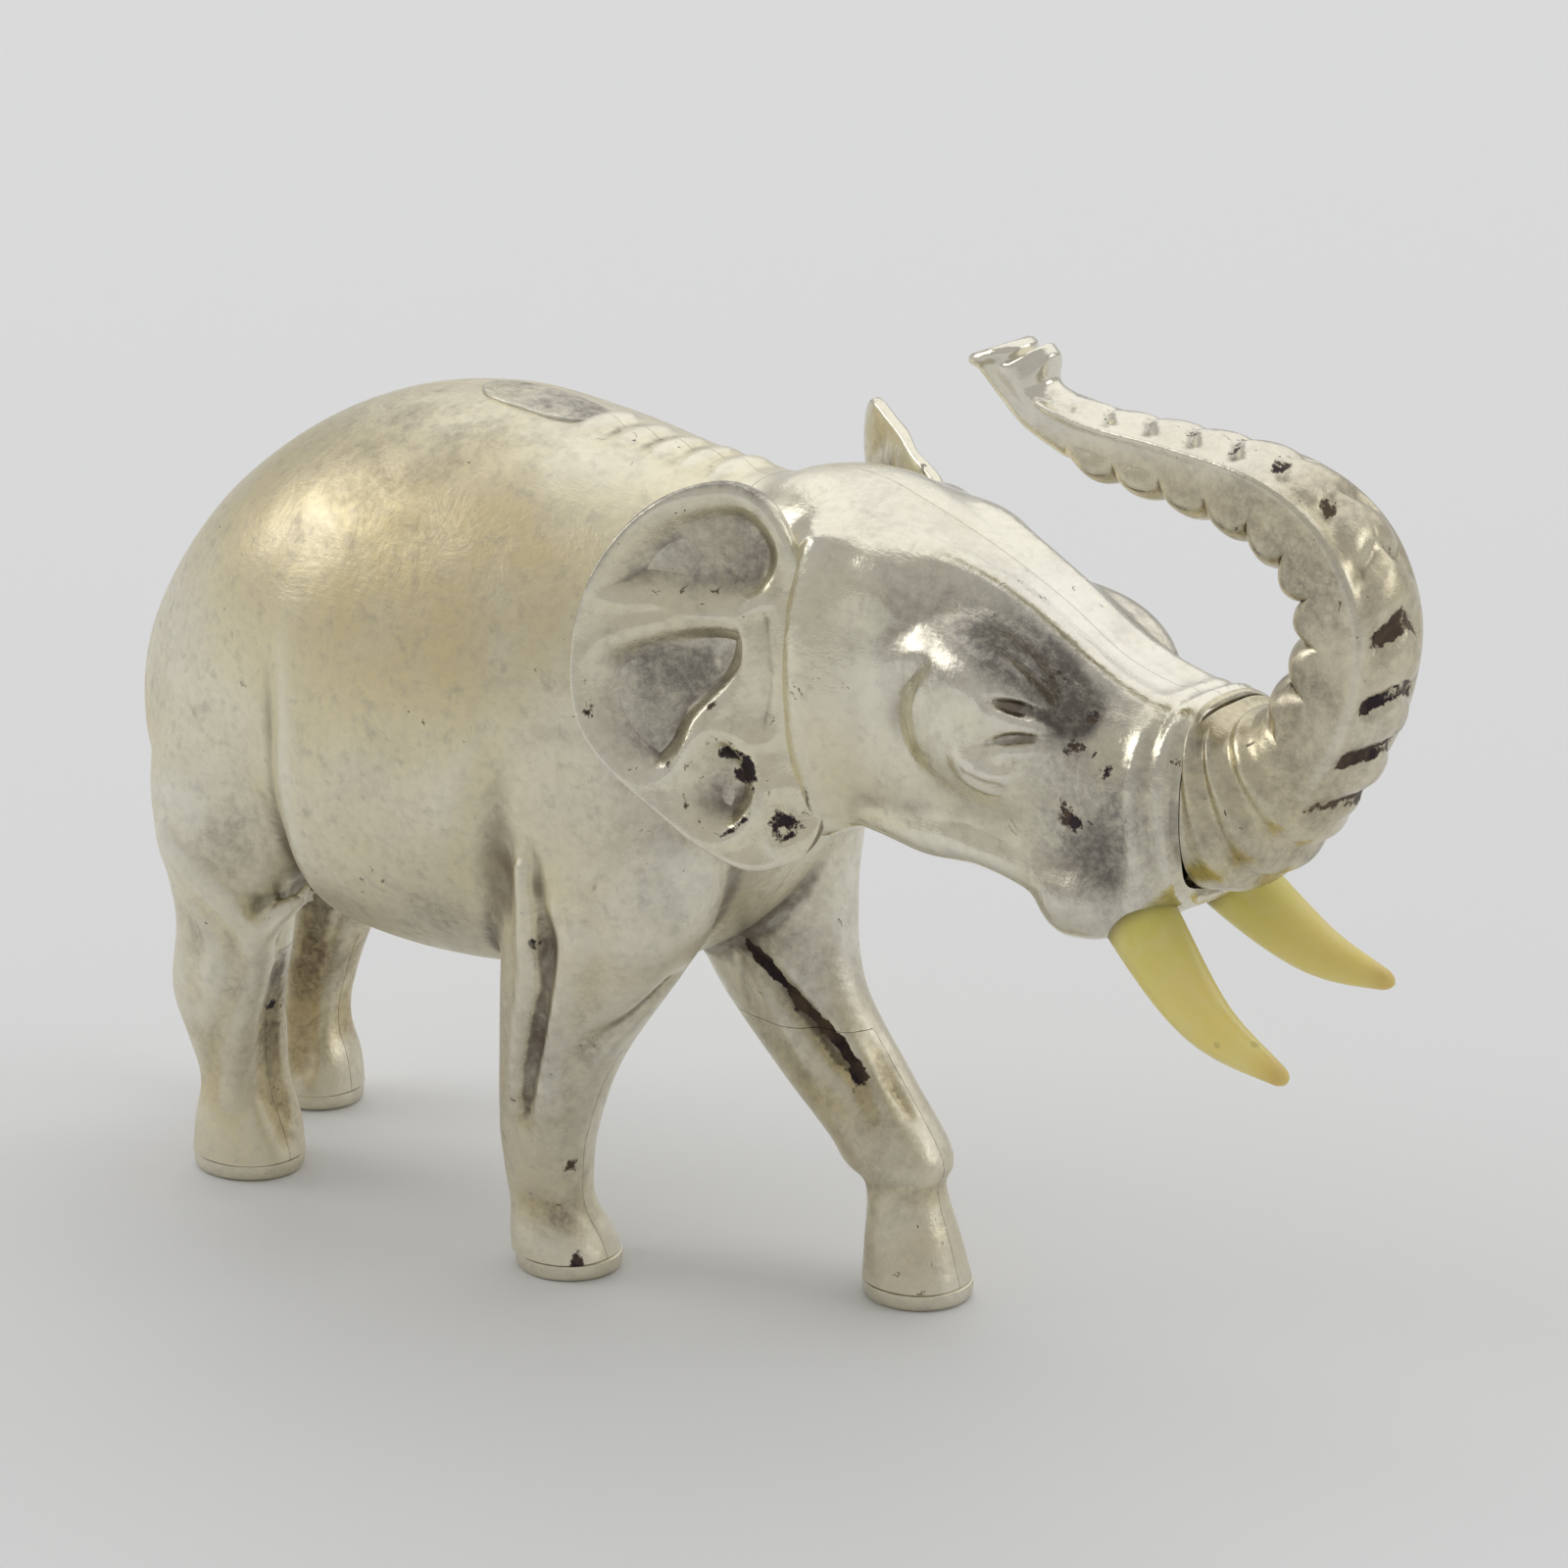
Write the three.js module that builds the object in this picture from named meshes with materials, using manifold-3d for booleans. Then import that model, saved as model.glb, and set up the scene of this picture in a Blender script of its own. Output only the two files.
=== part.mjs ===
// A small hollow silver elephant, striding, with its trunk curled up and back and two resin tusks.
// It is built as a silversmith builds it: die-struck half shells for the body and the head,
// separate strips that close the inside of each leg, sole plates, a cast trunk with a spigot,
// ears, a tail, a plug over the vent in the back, and tusks with pegs that sit in sockets.
// Millimetres. +X is forwards, +Y is the elephant's left and +Z is up.
import * as THREE from "three";
import { mergeVertices } from "three/addons/utils/BufferGeometryUtils.js";
import Module from "manifold-3d";

const wasm = await Module();
wasm.setup();

// ---- Driving dimensions -------------------------------------------------------------------

const figure = { length: 61.5, width: 19.4, height: 40.7 }; // over all, from the tail to the trunk
const drawn = { length: 61.5, width: 19.4, height: 40.7 }; // the size at which the sections are drawn

const wall = 0.6; // silver sheet of the shells
const gap = 0.3; // between two pieces that are soldered or glued together
const soleThickness = 0.7;
const innerLegHeight = 10.2; // top of the strips that close the inside of the legs, above the ground
const earThickness = 0.7;
const plug = { length: 6.4, width: 3.6, thickness: 0.35 }; // over the vent in the back
const trunkThickness = 1; // times the drawn radii of the trunk
const spigotLength = 2.2; // of the trunk, inside the head
const tuskRadius = 1.4; // where the tusk leaves its socket
const tuskTip = 0.45; // radius of the blunt tip
const tailRadius = 0.75;

const X = figure.length / drawn.length;
const Y = figure.width / drawn.width;
const Z = figure.height / drawn.height;

// ---- Sections, drawn at the drawn size ----------------------------------------------------

// The barrel of the body, in upright sections from the rump to inside the neck.
const torso = {
  at: [-5.6, -4.8, -3, 0, 5, 10, 15, 20, 24, 27, 29.5],
  middle: [19.8, 20.0, 20.6, 21.4, 22.3, 22.7, 22.8, 23.0, 24.0, 25.4, 26.4],
  side: [0.5, 3.2, 5.6, 7.5, 9.1, 9.6, 9.1, 7.9, 6.4, 5.1, 3.9],
  rise: [0.5, 4.0, 6.6, 8.9, 10.8, 11.6, 11.3, 10.5, 9.2, 7.4, 5.6],
};

// The legs, in level sections from the ground up into the body.
const legs = {
  front_right: {
    at: [0, 1.3, 2.6, 4, 6, 9.5, 14, 16, 20, 24, 26],
    x: [17.5, 17.2, 16.8, 16.7, 17.0, 18.2, 20.1, 20.9, 21.5, 21.5, 21.6],
    y: [-3.7, -3.7, -3.8, -3.9, -4.2, -4.8, -5.0, -5.0, -4.6, -3.6, -3.0],
    along: [2.2, 2.1, 1.7, 1.75, 1.95, 2.6, 4.0, 4.5, 4.6, 3.4, 2.0],
    side: [2.1, 2.0, 1.65, 1.7, 1.9, 2.1, 2.8, 3.0, 2.9, 2.4, 1.6],
  },
  front_left: {
    at: [0, 2, 4.4, 5.1, 5.9, 8.1, 11.5, 15, 18, 21, 24, 26],
    x: [30.2, 29.9, 29.3, 28.9, 28.4, 26.0, 22.8, 21.4, 21.2, 21.3, 21.4, 21.6],
    y: [2.7, 2.8, 3.0, 3.1, 3.2, 3.4, 3.7, 4.2, 4.5, 4.4, 3.6, 3.0],
    along: [2.25, 1.95, 1.6, 2.2, 2.5, 3.1, 3.5, 4.0, 4.2, 4.1, 3.2, 2.0],
    side: [2.15, 1.85, 1.5, 1.8, 1.9, 1.9, 2.1, 2.5, 2.8, 2.9, 2.4, 1.6],
  },
  hind_right: {
    at: [0, 2, 4, 6, 8, 11, 13, 15, 18, 22, 25],
    x: [0, 0, 0.1, 0.0, -0.1, 0.7, 1.2, 1.5, 1.9, 2.8, 3.6],
    y: [-3.8, -3.8, -4.0, -4.3, -4.6, -4.9, -5.0, -5.0, -4.8, -4.0, -3.2],
    along: [2.4, 2.2, 1.8, 2.0, 2.3, 2.5, 3.1, 3.9, 4.5, 3.6, 1.6],
    side: [2.2, 2.1, 1.8, 2.0, 2.2, 2.4, 2.8, 3.2, 3.4, 2.8, 1.4],
  },
  hind_left: {
    at: [0, 2, 3.5, 5, 8, 11, 14, 18, 22, 25],
    x: [-3.3, -3.4, -3.7, -3.7, -3.1, -1.6, 0.2, 1.6, 2.8, 3.6],
    y: [3.7, 3.7, 3.8, 4.0, 4.5, 4.9, 5.0, 4.8, 4.0, 3.2],
    along: [2.2, 2.1, 1.8, 1.8, 2.1, 2.8, 3.9, 4.7, 3.6, 1.6],
    side: [2.0, 2.0, 1.8, 1.8, 2.0, 2.4, 3.0, 3.4, 2.8, 1.4],
  },
};

// The head, in upright sections from inside the neck to the muzzle.
const head = {
  at: [25, 27, 30, 33, 36, 39, 42, 45, 46.6],
  middle: [27.0, 27.2, 27.2, 26.9, 26.2, 25.2, 24.4, 24.4, 25.0],
  side: [3.4, 4.2, 4.8, 4.8, 4.6, 4.4, 4.3, 4.1, 3.3],
  rise: [5.5, 6.6, 6.9, 6.4, 6.0, 5.6, 4.7, 4.0, 3.5],
  drop: [5.5, 6.6, 6.9, 7.0, 6.9, 6.0, 5.2, 4.2, 3.3],
};

// The trunk's centreline in the upright plane, from the muzzle round to the tip, and its radii.
const trunk = {
  x: [46.4, 48.5, 50.5, 51.8, 52.1, 50.9, 48.4, 44.5, 40.5, 38.1, 36.8, 36.0],
  z: [25.1, 25.7, 27.4, 29.9, 32.5, 34.9, 36.4, 37.0, 37.3, 37.9, 38.9, 40.1],
  radius: [3.3, 2.9, 2.4, 2.35, 2.25, 2.15, 1.9, 1.6, 1.35, 1.15, 1.15, 1.3],
};

// The tusks' centrelines: peg end, where it leaves the socket, belly of the curve, and tip.
const tusks = {
  right: { x: [43.0, 44.6, 48.4, 52.6], y: [-2.4, -2.8, -3.9, -4.7], z: [22.2, 20.4, 17.6, 16.4] },
  left: { x: [43.0, 44.7, 47.8, 50.9], y: [2.4, 2.8, 3.9, 4.7], z: [22.3, 20.6, 18.3, 17.3] },
};

const tail = {
  x: [-4.2, -5.8, -6.6, -6.5, -6.2, -5.8],
  z: [23.4, 21.4, 17.5, 13.0, 8.6, 5.4],
  thickness: [1.2, 1.1, 0.8, 0.7, 1.0, 0.4],
};

// The ear's outline seen from the side, and how it leans out from the head.
const earOutline = [
  [26.8, 34.2], [24.6, 33.3], [23.0, 30.6], [22.5, 28.2], [23.2, 25.3], [25.1, 23.3],
  [26.6, 23.0], [27.6, 21.4], [29.2, 19.9], [30.5, 21.2], [30.9, 25.0], [30.8, 29.0],
  [30.2, 32.5], [28.6, 34.2],
];
const earLean = { at: [30.8, 27], side: 4.3, flare: 0.58, tuck: 0.12 };

// The seam between body and head runs from the notch behind the crown down to the throat.
const neckSeam = { top: [24.9, 33.6], bottom: [30.4, 20.4] };
const muzzle = 46.6; // front edge of the head shells
const trunkParting = 30; // a level between the trunk's root and its tip
const spigotOverlap = 0.8; // of the spigot with the trunk's root, which are one casting
const ventAt = 13.6;
const crown = 2.6; // squareness of the head's sections: 2 is an ellipse

// ---- Helpers ------------------------------------------------------------------------------

// Smooth curve through (xs, ys), with Catmull-Rom slopes.
function curve(xs, ys, x) {
  const last = xs.length - 1;
  let i = 0;
  while (i < last - 1 && x > xs[i + 1]) i++;
  const slope = (k) => {
    const a = Math.max(k - 1, 0);
    const b = Math.min(k + 1, last);
    return (ys[b] - ys[a]) / (xs[b] - xs[a]);
  };
  const h = xs[i + 1] - xs[i];
  const t = Math.min(Math.max((x - xs[i]) / h, 0), 1);
  const t2 = t * t;
  const t3 = t2 * t;
  const from = ys[i] * (2 * t3 - 3 * t2 + 1) + h * slope(i) * (t3 - 2 * t2 + t);
  return from + ys[i + 1] * (3 * t2 - 2 * t3) + h * slope(i + 1) * (t3 - t2);
}

// A closed geometry as a solid, turned right side out.
function solid(geometry) {
  geometry.deleteAttribute("normal");
  geometry.deleteAttribute("uv");
  const merged = mergeVertices(geometry, 1e-5);
  const triVerts = new Uint32Array(merged.index.array);
  const make = () =>
    new wasm.Manifold(
      new wasm.Mesh({ numProp: 3, vertProperties: merged.attributes.position.array, triVerts }),
    );
  const made = make();
  if (made.volume() > 0) return made;
  for (let i = 0; i < triVerts.length; i += 3)
    [triVerts[i + 1], triVerts[i + 2]] = [triVerts[i + 2], triVerts[i + 1]];
  return make();
}

// A closed skin swept through sections. section(s), with s from 0 to 1, gives the centre, the two
// half axes, the part of the second one below the centre (drop) and the squareness.
function sweep(section, sides, rings) {
  const skin = new THREE.CylinderGeometry(1, 1, 1, sides, rings);
  const position = skin.attributes.position;
  for (let i = 0; i < position.count; i++) {
    const { centre, across, up, drop = 1, square = 2 } = section(position.getY(i) + 0.5);
    const bend = (c) => Math.sign(c) * Math.abs(c) ** (2 / square);
    const u = bend(position.getX(i));
    const v = bend(position.getZ(i));
    const point = centre.clone().addScaledVector(across, u).addScaledVector(up, v < 0 ? v * drop : v);
    position.setXYZ(i, point.x, point.y, point.z);
  }
  return solid(skin);
}

// A flat plate of an outline, with its thickness along the third axis.
function plate(outline, depth) {
  const shape = new THREE.Shape(outline.map(([u, v]) => new THREE.Vector2(u, v)));
  return new THREE.ExtrudeGeometry(shape, { depth, bevelEnabled: false });
}

// The same, as a solid, with each point (u, v, w) moved by place.
function placedPlate(outline, depth, place) {
  const geometry = plate(outline, depth);
  const position = geometry.attributes.position;
  for (let i = 0; i < position.count; i++)
    position.setXYZ(i, ...place(position.getX(i), position.getY(i), position.getZ(i)));
  return solid(geometry);
}

const joined = (solids) => solids.reduce((a, b) => a.add(b));
const largest = (pieces) =>
  pieces.decompose().reduce((a, b) => (a.volume() > b.volume() ? a : b));

// ---- Bodies of the figure, each grown or shrunk by an offset -------------------------------

// The barrel is scaled about its middle, so that its ends keep their wall as its sides do.
function torsoSolid(offset) {
  const from = torso.at[0];
  const to = torso.at.at(-1);
  const centre = { x: (from + to) / 2, z: curve(torso.at, torso.middle, (from + to) / 2) };
  const grow = {
    x: 1 + offset / ((X * (to - from)) / 2),
    y: 1 + offset / (Y * Math.max(...torso.side)),
    z: 1 + offset / (Z * Math.max(...torso.rise)),
  };
  return sweep((s) => {
    // Sections crowd towards the ends, where the barrel closes.
    const x = from + ((to - from) * (1 - Math.cos(Math.PI * s))) / 2;
    return {
      centre: new THREE.Vector3(
        X * (centre.x + (x - centre.x) * grow.x), 0,
        Z * (centre.z + (curve(torso.at, torso.middle, x) - centre.z) * grow.z),
      ),
      across: new THREE.Vector3(0, Y * grow.y * curve(torso.at, torso.side, x), 0),
      up: new THREE.Vector3(0, 0, Z * grow.z * curve(torso.at, torso.rise, x)),
    };
  }, 26, 14);
}

const legCentre = (leg, z) => [X * curve(leg.at, leg.x, z / Z), Y * curve(leg.at, leg.y, z / Z)];

// A leg runs from below the ground, so that it can be cut level, up into the body.
function legSolid(leg, offset, foot = -1) {
  const top = Z * leg.at.at(-1) + Math.min(offset, 0);
  return sweep((s) => {
    const z = foot + (top - foot) * s;
    const [x, y] = legCentre(leg, z);
    return {
      centre: new THREE.Vector3(x, y, z),
      across: new THREE.Vector3(X * curve(leg.at, leg.along, z / Z) + offset, 0, 0),
      up: new THREE.Vector3(0, Y * curve(leg.at, leg.side, z / Z) + offset, 0),
    };
  }, 14, 10);
}

function headSection(x, offset) {
  return {
    centre: new THREE.Vector3(X * x, 0, Z * curve(head.at, head.middle, x)),
    across: new THREE.Vector3(0, Y * curve(head.at, head.side, x) + offset, 0),
    up: new THREE.Vector3(0, 0, Z * curve(head.at, head.rise, x) + offset),
    drop: (Z * curve(head.at, head.drop, x) + offset) / (Z * curve(head.at, head.rise, x) + offset),
    square: crown,
  };
}

// An inner head solid runs out past the muzzle, so that the head stays open to the trunk.
function headSolid(offset, front = head.at.at(-1)) {
  const from = head.at[0];
  return sweep((s) => headSection(from + (front - from) * s, offset), 22, 9);
}

const wholeFigure = (offset) =>
  joined([torsoSolid(offset), headSolid(offset), ...Object.values(legs).map((leg) => legSolid(leg, offset))]);

// ---- Cutters ------------------------------------------------------------------------------

const reach = 2 * (figure.length + figure.width + figure.height); // longer than anything here

function box(lo, hi) {
  const size = hi.map((h, i) => h - lo[i]);
  const middle = hi.map((h, i) => (h + lo[i]) / 2);
  return solid(new THREE.BoxGeometry(...size).translate(...middle));
}

// All that is forward of the neck seam by more than clear.
function aheadOfNeck(clear) {
  const [topX, topZ] = neckSeam.top.map((v, i) => v * [X, Z][i]);
  const [bottomX, bottomZ] = neckSeam.bottom.map((v, i) => v * [X, Z][i]);
  const lean = Math.atan2(bottomX - topX, topZ - bottomZ);
  const geometry = new THREE.BoxGeometry(reach, reach, reach)
    .translate(reach / 2 + clear, 0, 0)
    .rotateY(-lean)
    .translate((topX + bottomX) / 2, 0, (topZ + bottomZ) / 2);
  return solid(geometry);
}

// The inside half of a leg, from its middle line towards the figure's middle plane.
function insideOfLeg(leg, grow) {
  const side = Math.sign(leg.y[0]);
  const steps = 6;
  const line = Array.from({ length: steps + 1 }, (_, i) => {
    const z = -1 + ((innerLegHeight + grow + 1) * i) / steps;
    return [legCentre(leg, z)[1] + side * grow, z];
  });
  const outline = [[0, -1], ...line, [0, innerLegHeight + grow]];
  const middle = X * leg.x[0];
  const spread = 8 * X;
  return placedPlate(outline, 2 * spread, (y, z, x) => [middle - spread + x, y, z]);
}

// ---- Pieces -------------------------------------------------------------------------------

function tuskSolid(path, offset) {
  const last = path.x.length - 1;
  const knots = path.x.map((_, i) => i);
  const at = (t) =>
    new THREE.Vector3(
      X * curve(knots, path.x, t), Y * curve(knots, path.y, t), Z * curve(knots, path.z, t),
    );
  return sweep((s) => {
    const t = last * s;
    const centre = at(t);
    const ahead = at(Math.min(t + 0.05, last)).sub(at(Math.max(t - 0.05, 0))).normalize();
    const across = new THREE.Vector3().crossVectors(ahead, new THREE.Vector3(0, 1, 0)).normalize();
    const up = new THREE.Vector3().crossVectors(ahead, across);
    const slender = Math.sqrt(Math.max(0, 1 - (Math.max(t - 1, 0) / (last - 1)) ** 2.2));
    const radius = tuskTip + (tuskRadius - tuskTip) * slender + offset;
    return { centre, across: across.multiplyScalar(radius), up: up.multiplyScalar(radius) };
  }, 12, 8);
}

// A round bar that bends in the upright plane.
function bentBar(path, radii, sides, rings) {
  const knots = path.x.map((_, i) => i);
  const last = knots.length - 1;
  const at = (t) => new THREE.Vector3(X * curve(knots, path.x, t), 0, Z * curve(knots, path.z, t));
  return sweep((s) => {
    const t = last * s;
    const ahead = at(Math.min(t + 0.05, last)).sub(at(Math.max(t - 0.05, 0))).normalize();
    const radius = curve(knots, radii, t);
    return {
      centre: at(t),
      across: new THREE.Vector3(0, radius, 0),
      up: new THREE.Vector3(-ahead.z, 0, ahead.x).multiplyScalar(radius),
    };
  }, sides, rings);
}

// The trunk is cast solid. Its root is cut level with the muzzle's edge, and a spigot of the
// muzzle's own inner section, less a clearance, reaches back into the head.
function trunkSolid() {
  const bar = bentBar(trunk, trunk.radius.map((r) => r * trunkThickness), 14, 34);
  const behindMuzzle = box([-reach, -reach, -reach], [X * muzzle + gap, reach, Z * trunkParting]);
  const spigot = sweep((s) => {
    const shape = headSection(muzzle, -wall - gap);
    shape.centre.x = X * muzzle - spigotLength + (spigotLength + gap + spigotOverlap) * s;
    return shape;
  }, 18, 1);
  return bar.subtract(behindMuzzle).add(spigot);
}

function earSolid(side) {
  const lean = (x, z) =>
    Y * earLean.side + earLean.flare * (X * earLean.at[0] - x) - earLean.tuck * (z - Z * earLean.at[1]);
  const outline = new THREE.SplineCurve(
    [...earOutline, earOutline[0]].map(([x, z]) => new THREE.Vector2(X * x, Z * z)),
  ).getPoints(30).slice(0, -1).map((p) => [p.x, p.y]);
  return placedPlate(outline, earThickness, (x, z, t) => [x, side * (lean(x, z) + t), z]);
}

function solePlate(leg) {
  const [x, y] = legCentre(leg, 0);
  const ring = new THREE.EllipseCurve(x, y, X * leg.along[0], Y * leg.side[0]).getPoints(20).slice(0, -1);
  return placedPlate(ring.map((p) => [p.x, p.y]), soleThickness, (u, v, w) => [u, v, w]);
}

function ventPlug() {
  const edge = new THREE.EllipseCurve(X * ventAt, 0, plug.length / 2, plug.width / 2);
  const ring = edge.getPoints(20).slice(0, -1);
  const over = placedPlate(ring.map((p) => [p.x, p.y]), reach, (u, v, w) => [u, v, Z * torso.middle[5] + w]);
  return over.intersect(torsoSolid(gap + plug.thickness)).subtract(torsoSolid(gap));
}

// ---- Assembly -----------------------------------------------------------------------------

const silver = { color: 0xcfc9b4, roughness: 0.3, metalness: 1 };
const resin = { color: 0xd9c766, roughness: 0.35, metalness: 0 };
const elephant = new THREE.Group();

function addPiece(name, made, finish) {
  const mesh = made.getMesh();
  const vertices = new Float32Array(mesh.numVert * 3);
  for (let i = 0; i < mesh.numVert; i++)
    vertices.set(mesh.vertProperties.subarray(i * mesh.numProp, i * mesh.numProp + 3), i * 3);
  const geometry = new THREE.BufferGeometry()
    .setAttribute("position", new THREE.BufferAttribute(vertices, 3))
    .setIndex(new THREE.BufferAttribute(mesh.triVerts, 1));
  geometry.computeVertexNormals();
  const piece = new THREE.Mesh(geometry, new THREE.MeshStandardMaterial(finish));
  piece.name = name;
  elephant.add(piece);
}

const outside = wholeFigure(0);
const hollow = joined([
  torsoSolid(-wall),
  headSolid(-wall, head.at.at(-1) + 1 / X),
  ...Object.values(legs).map((leg) => legSolid(leg, -wall, -2)),
]);
const sockets = joined(Object.values(tusks).map((path) => tuskSolid(path, gap)));
const aboveSoles = box([-reach, -reach, soleThickness + gap], [reach, reach, reach]);
const shell = outside.subtract(hollow).intersect(aboveSoles);
const skinAndGap = wholeFigure(gap);

const sides = { right: -1, left: 1 };
for (const [side, sign] of Object.entries(sides)) {
  const halfSpace = box(
    [-reach, sign < 0 ? -reach : gap / 2, -reach],
    [reach, sign < 0 ? -gap / 2 : reach, reach],
  );
  const half = shell.intersect(halfSpace);
  const ownLegs = Object.entries(legs).filter(([name]) => name.endsWith(side));
  const bodyHalf = ownLegs.reduce(
    (body, [, leg]) => body.subtract(insideOfLeg(leg, gap)),
    half.subtract(aheadOfNeck(-gap / 2)),
  );
  addPiece(`body_shell_${side}`, largest(bodyHalf), silver);
  addPiece(`head_shell_${side}`, largest(half.intersect(aheadOfNeck(gap / 2)).subtract(sockets)), silver);
  for (const [name, leg] of ownLegs) {
    addPiece(`inner_leg_${name}`, largest(half.intersect(insideOfLeg(leg, 0))), silver);
    addPiece(`sole_${name}`, solePlate(leg), silver);
  }
  addPiece(`ear_${side}`, largest(earSolid(sign).subtract(skinAndGap)), silver);
  addPiece(`tusk_${side}`, tuskSolid(tusks[side], 0), resin);
}
addPiece("trunk", trunkSolid().subtract(sockets), silver);
addPiece(
  "tail",
  largest(bentBar(tail, tail.thickness.map((r) => r * tailRadius), 8, 12).subtract(skinAndGap)),
  silver,
);
addPiece("vent_plug", ventPlug(), silver);

// The origin is on the ground, under the middle of the figure.
const extent = new THREE.Box3().setFromObject(elephant);
const centre = extent.getCenter(new THREE.Vector3());
elephant.position.set(-centre.x, -centre.y, -extent.min.z);

export default elephant;
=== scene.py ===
"""A small hollow silver elephant, trunk raised, with two resin tusks, on a pale floor.

Body and head are modelled like clay: a block of distances to the surface, into which rounded
shapes are blended and from which hollows are carved. The skin is taken from the block, cut
along the seams and given the thickness of the sheet. Trunk, tusks, ears, tail, soles and the
plug in the back are surfaces of two parameters. Tables count in millimetres from the datum,
which is on the ground in the middle plane, level with the middle of the right hind foot.
"""

import bpy
import numpy as np
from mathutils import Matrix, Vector


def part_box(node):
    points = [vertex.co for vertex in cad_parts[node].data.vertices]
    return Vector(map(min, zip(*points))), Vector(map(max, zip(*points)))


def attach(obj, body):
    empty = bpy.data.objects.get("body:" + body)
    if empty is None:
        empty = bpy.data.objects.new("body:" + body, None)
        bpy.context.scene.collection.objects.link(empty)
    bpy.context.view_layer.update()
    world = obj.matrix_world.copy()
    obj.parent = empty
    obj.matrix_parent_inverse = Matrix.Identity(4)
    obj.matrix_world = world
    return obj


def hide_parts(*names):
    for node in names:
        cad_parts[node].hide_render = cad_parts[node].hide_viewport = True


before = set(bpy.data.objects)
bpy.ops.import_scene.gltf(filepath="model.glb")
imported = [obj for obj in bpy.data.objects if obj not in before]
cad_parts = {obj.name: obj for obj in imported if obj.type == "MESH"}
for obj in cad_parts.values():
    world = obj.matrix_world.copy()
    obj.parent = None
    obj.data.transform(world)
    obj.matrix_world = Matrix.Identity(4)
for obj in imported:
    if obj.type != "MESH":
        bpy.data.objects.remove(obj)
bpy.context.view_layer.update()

MM = 0.001
datum_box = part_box("sole_hind_right")
DATUM = np.array([(datum_box[0].x + datum_box[1].x) / 2, 0.0, 0.0])
SOLE = (datum_box[1].z - datum_box[0].z) / MM
SIDES = {"right": -1, "left": 1}

WALL = 0.55  # of the sheet
SEAM = 0.02  # between two pieces that are soldered
MUZZLE = 46.6  # front edge of the head
INNER_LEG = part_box("inner_leg_front_right")[1].z / MM  # top of the strips inside the legs
MIDWAY = 9  # between fore and hind legs, along x
NECK = {"x": 24.9, "z": 33.6, "normal": (0.923, 0.385)}  # the seam between body and head
FINE = 0.17  # between samples of the head
COARSE = 0.24  # between samples of the body
SMOOTHING = 5  # rounds of it on the skin
GROOVE_ROUNDS = 14  # of averaging, from which a groove's depth is measured


# ---- Curves and blending --------------------------------------------------------------------


def curve(at, values, x):
    """Smooth curve through the stations, with Catmull-Rom slopes, at every x."""
    at = np.asarray(at, float)
    values = np.asarray(values, float)
    slope = np.gradient(values, at, edge_order=1)
    slope[1:-1] = (values[2:] - values[:-2]) / (at[2:] - at[:-2])
    i = np.clip(np.searchsorted(at, x) - 1, 0, len(at) - 2)
    width = at[i + 1] - at[i]
    t = np.clip((x - at[i]) / width, 0, 1)
    start = values[i] * (2 * t**3 - 3 * t**2 + 1) + width * slope[i] * (t**3 - 2 * t**2 + t)
    return start + values[i + 1] * (3 * t**2 - 2 * t**3) + width * slope[i + 1] * (t**3 - t**2)


def step(x, start, end):
    """Smooth rise from 0 at start to 1 at end."""
    t = np.clip((x - start) / (end - start), 0, 1)
    return t * t * (3 - 2 * t)


def hill(x, middle, width):
    """Bell curve of height 1."""
    return np.exp(-(((x - middle) / width) ** 2))


def line_through(points, count):
    """A smooth line through the points, as that many points."""
    points = np.array(points, float)
    knots = np.arange(len(points))
    t = np.linspace(0, knots[-1], count)
    return np.stack([curve(knots, column, t) for column in points.T], 1)


def tables(table, keys):
    """The named columns of a table, side by side."""
    return np.column_stack([table[key] for key in keys])


# ---- Clay -----------------------------------------------------------------------------------


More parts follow.
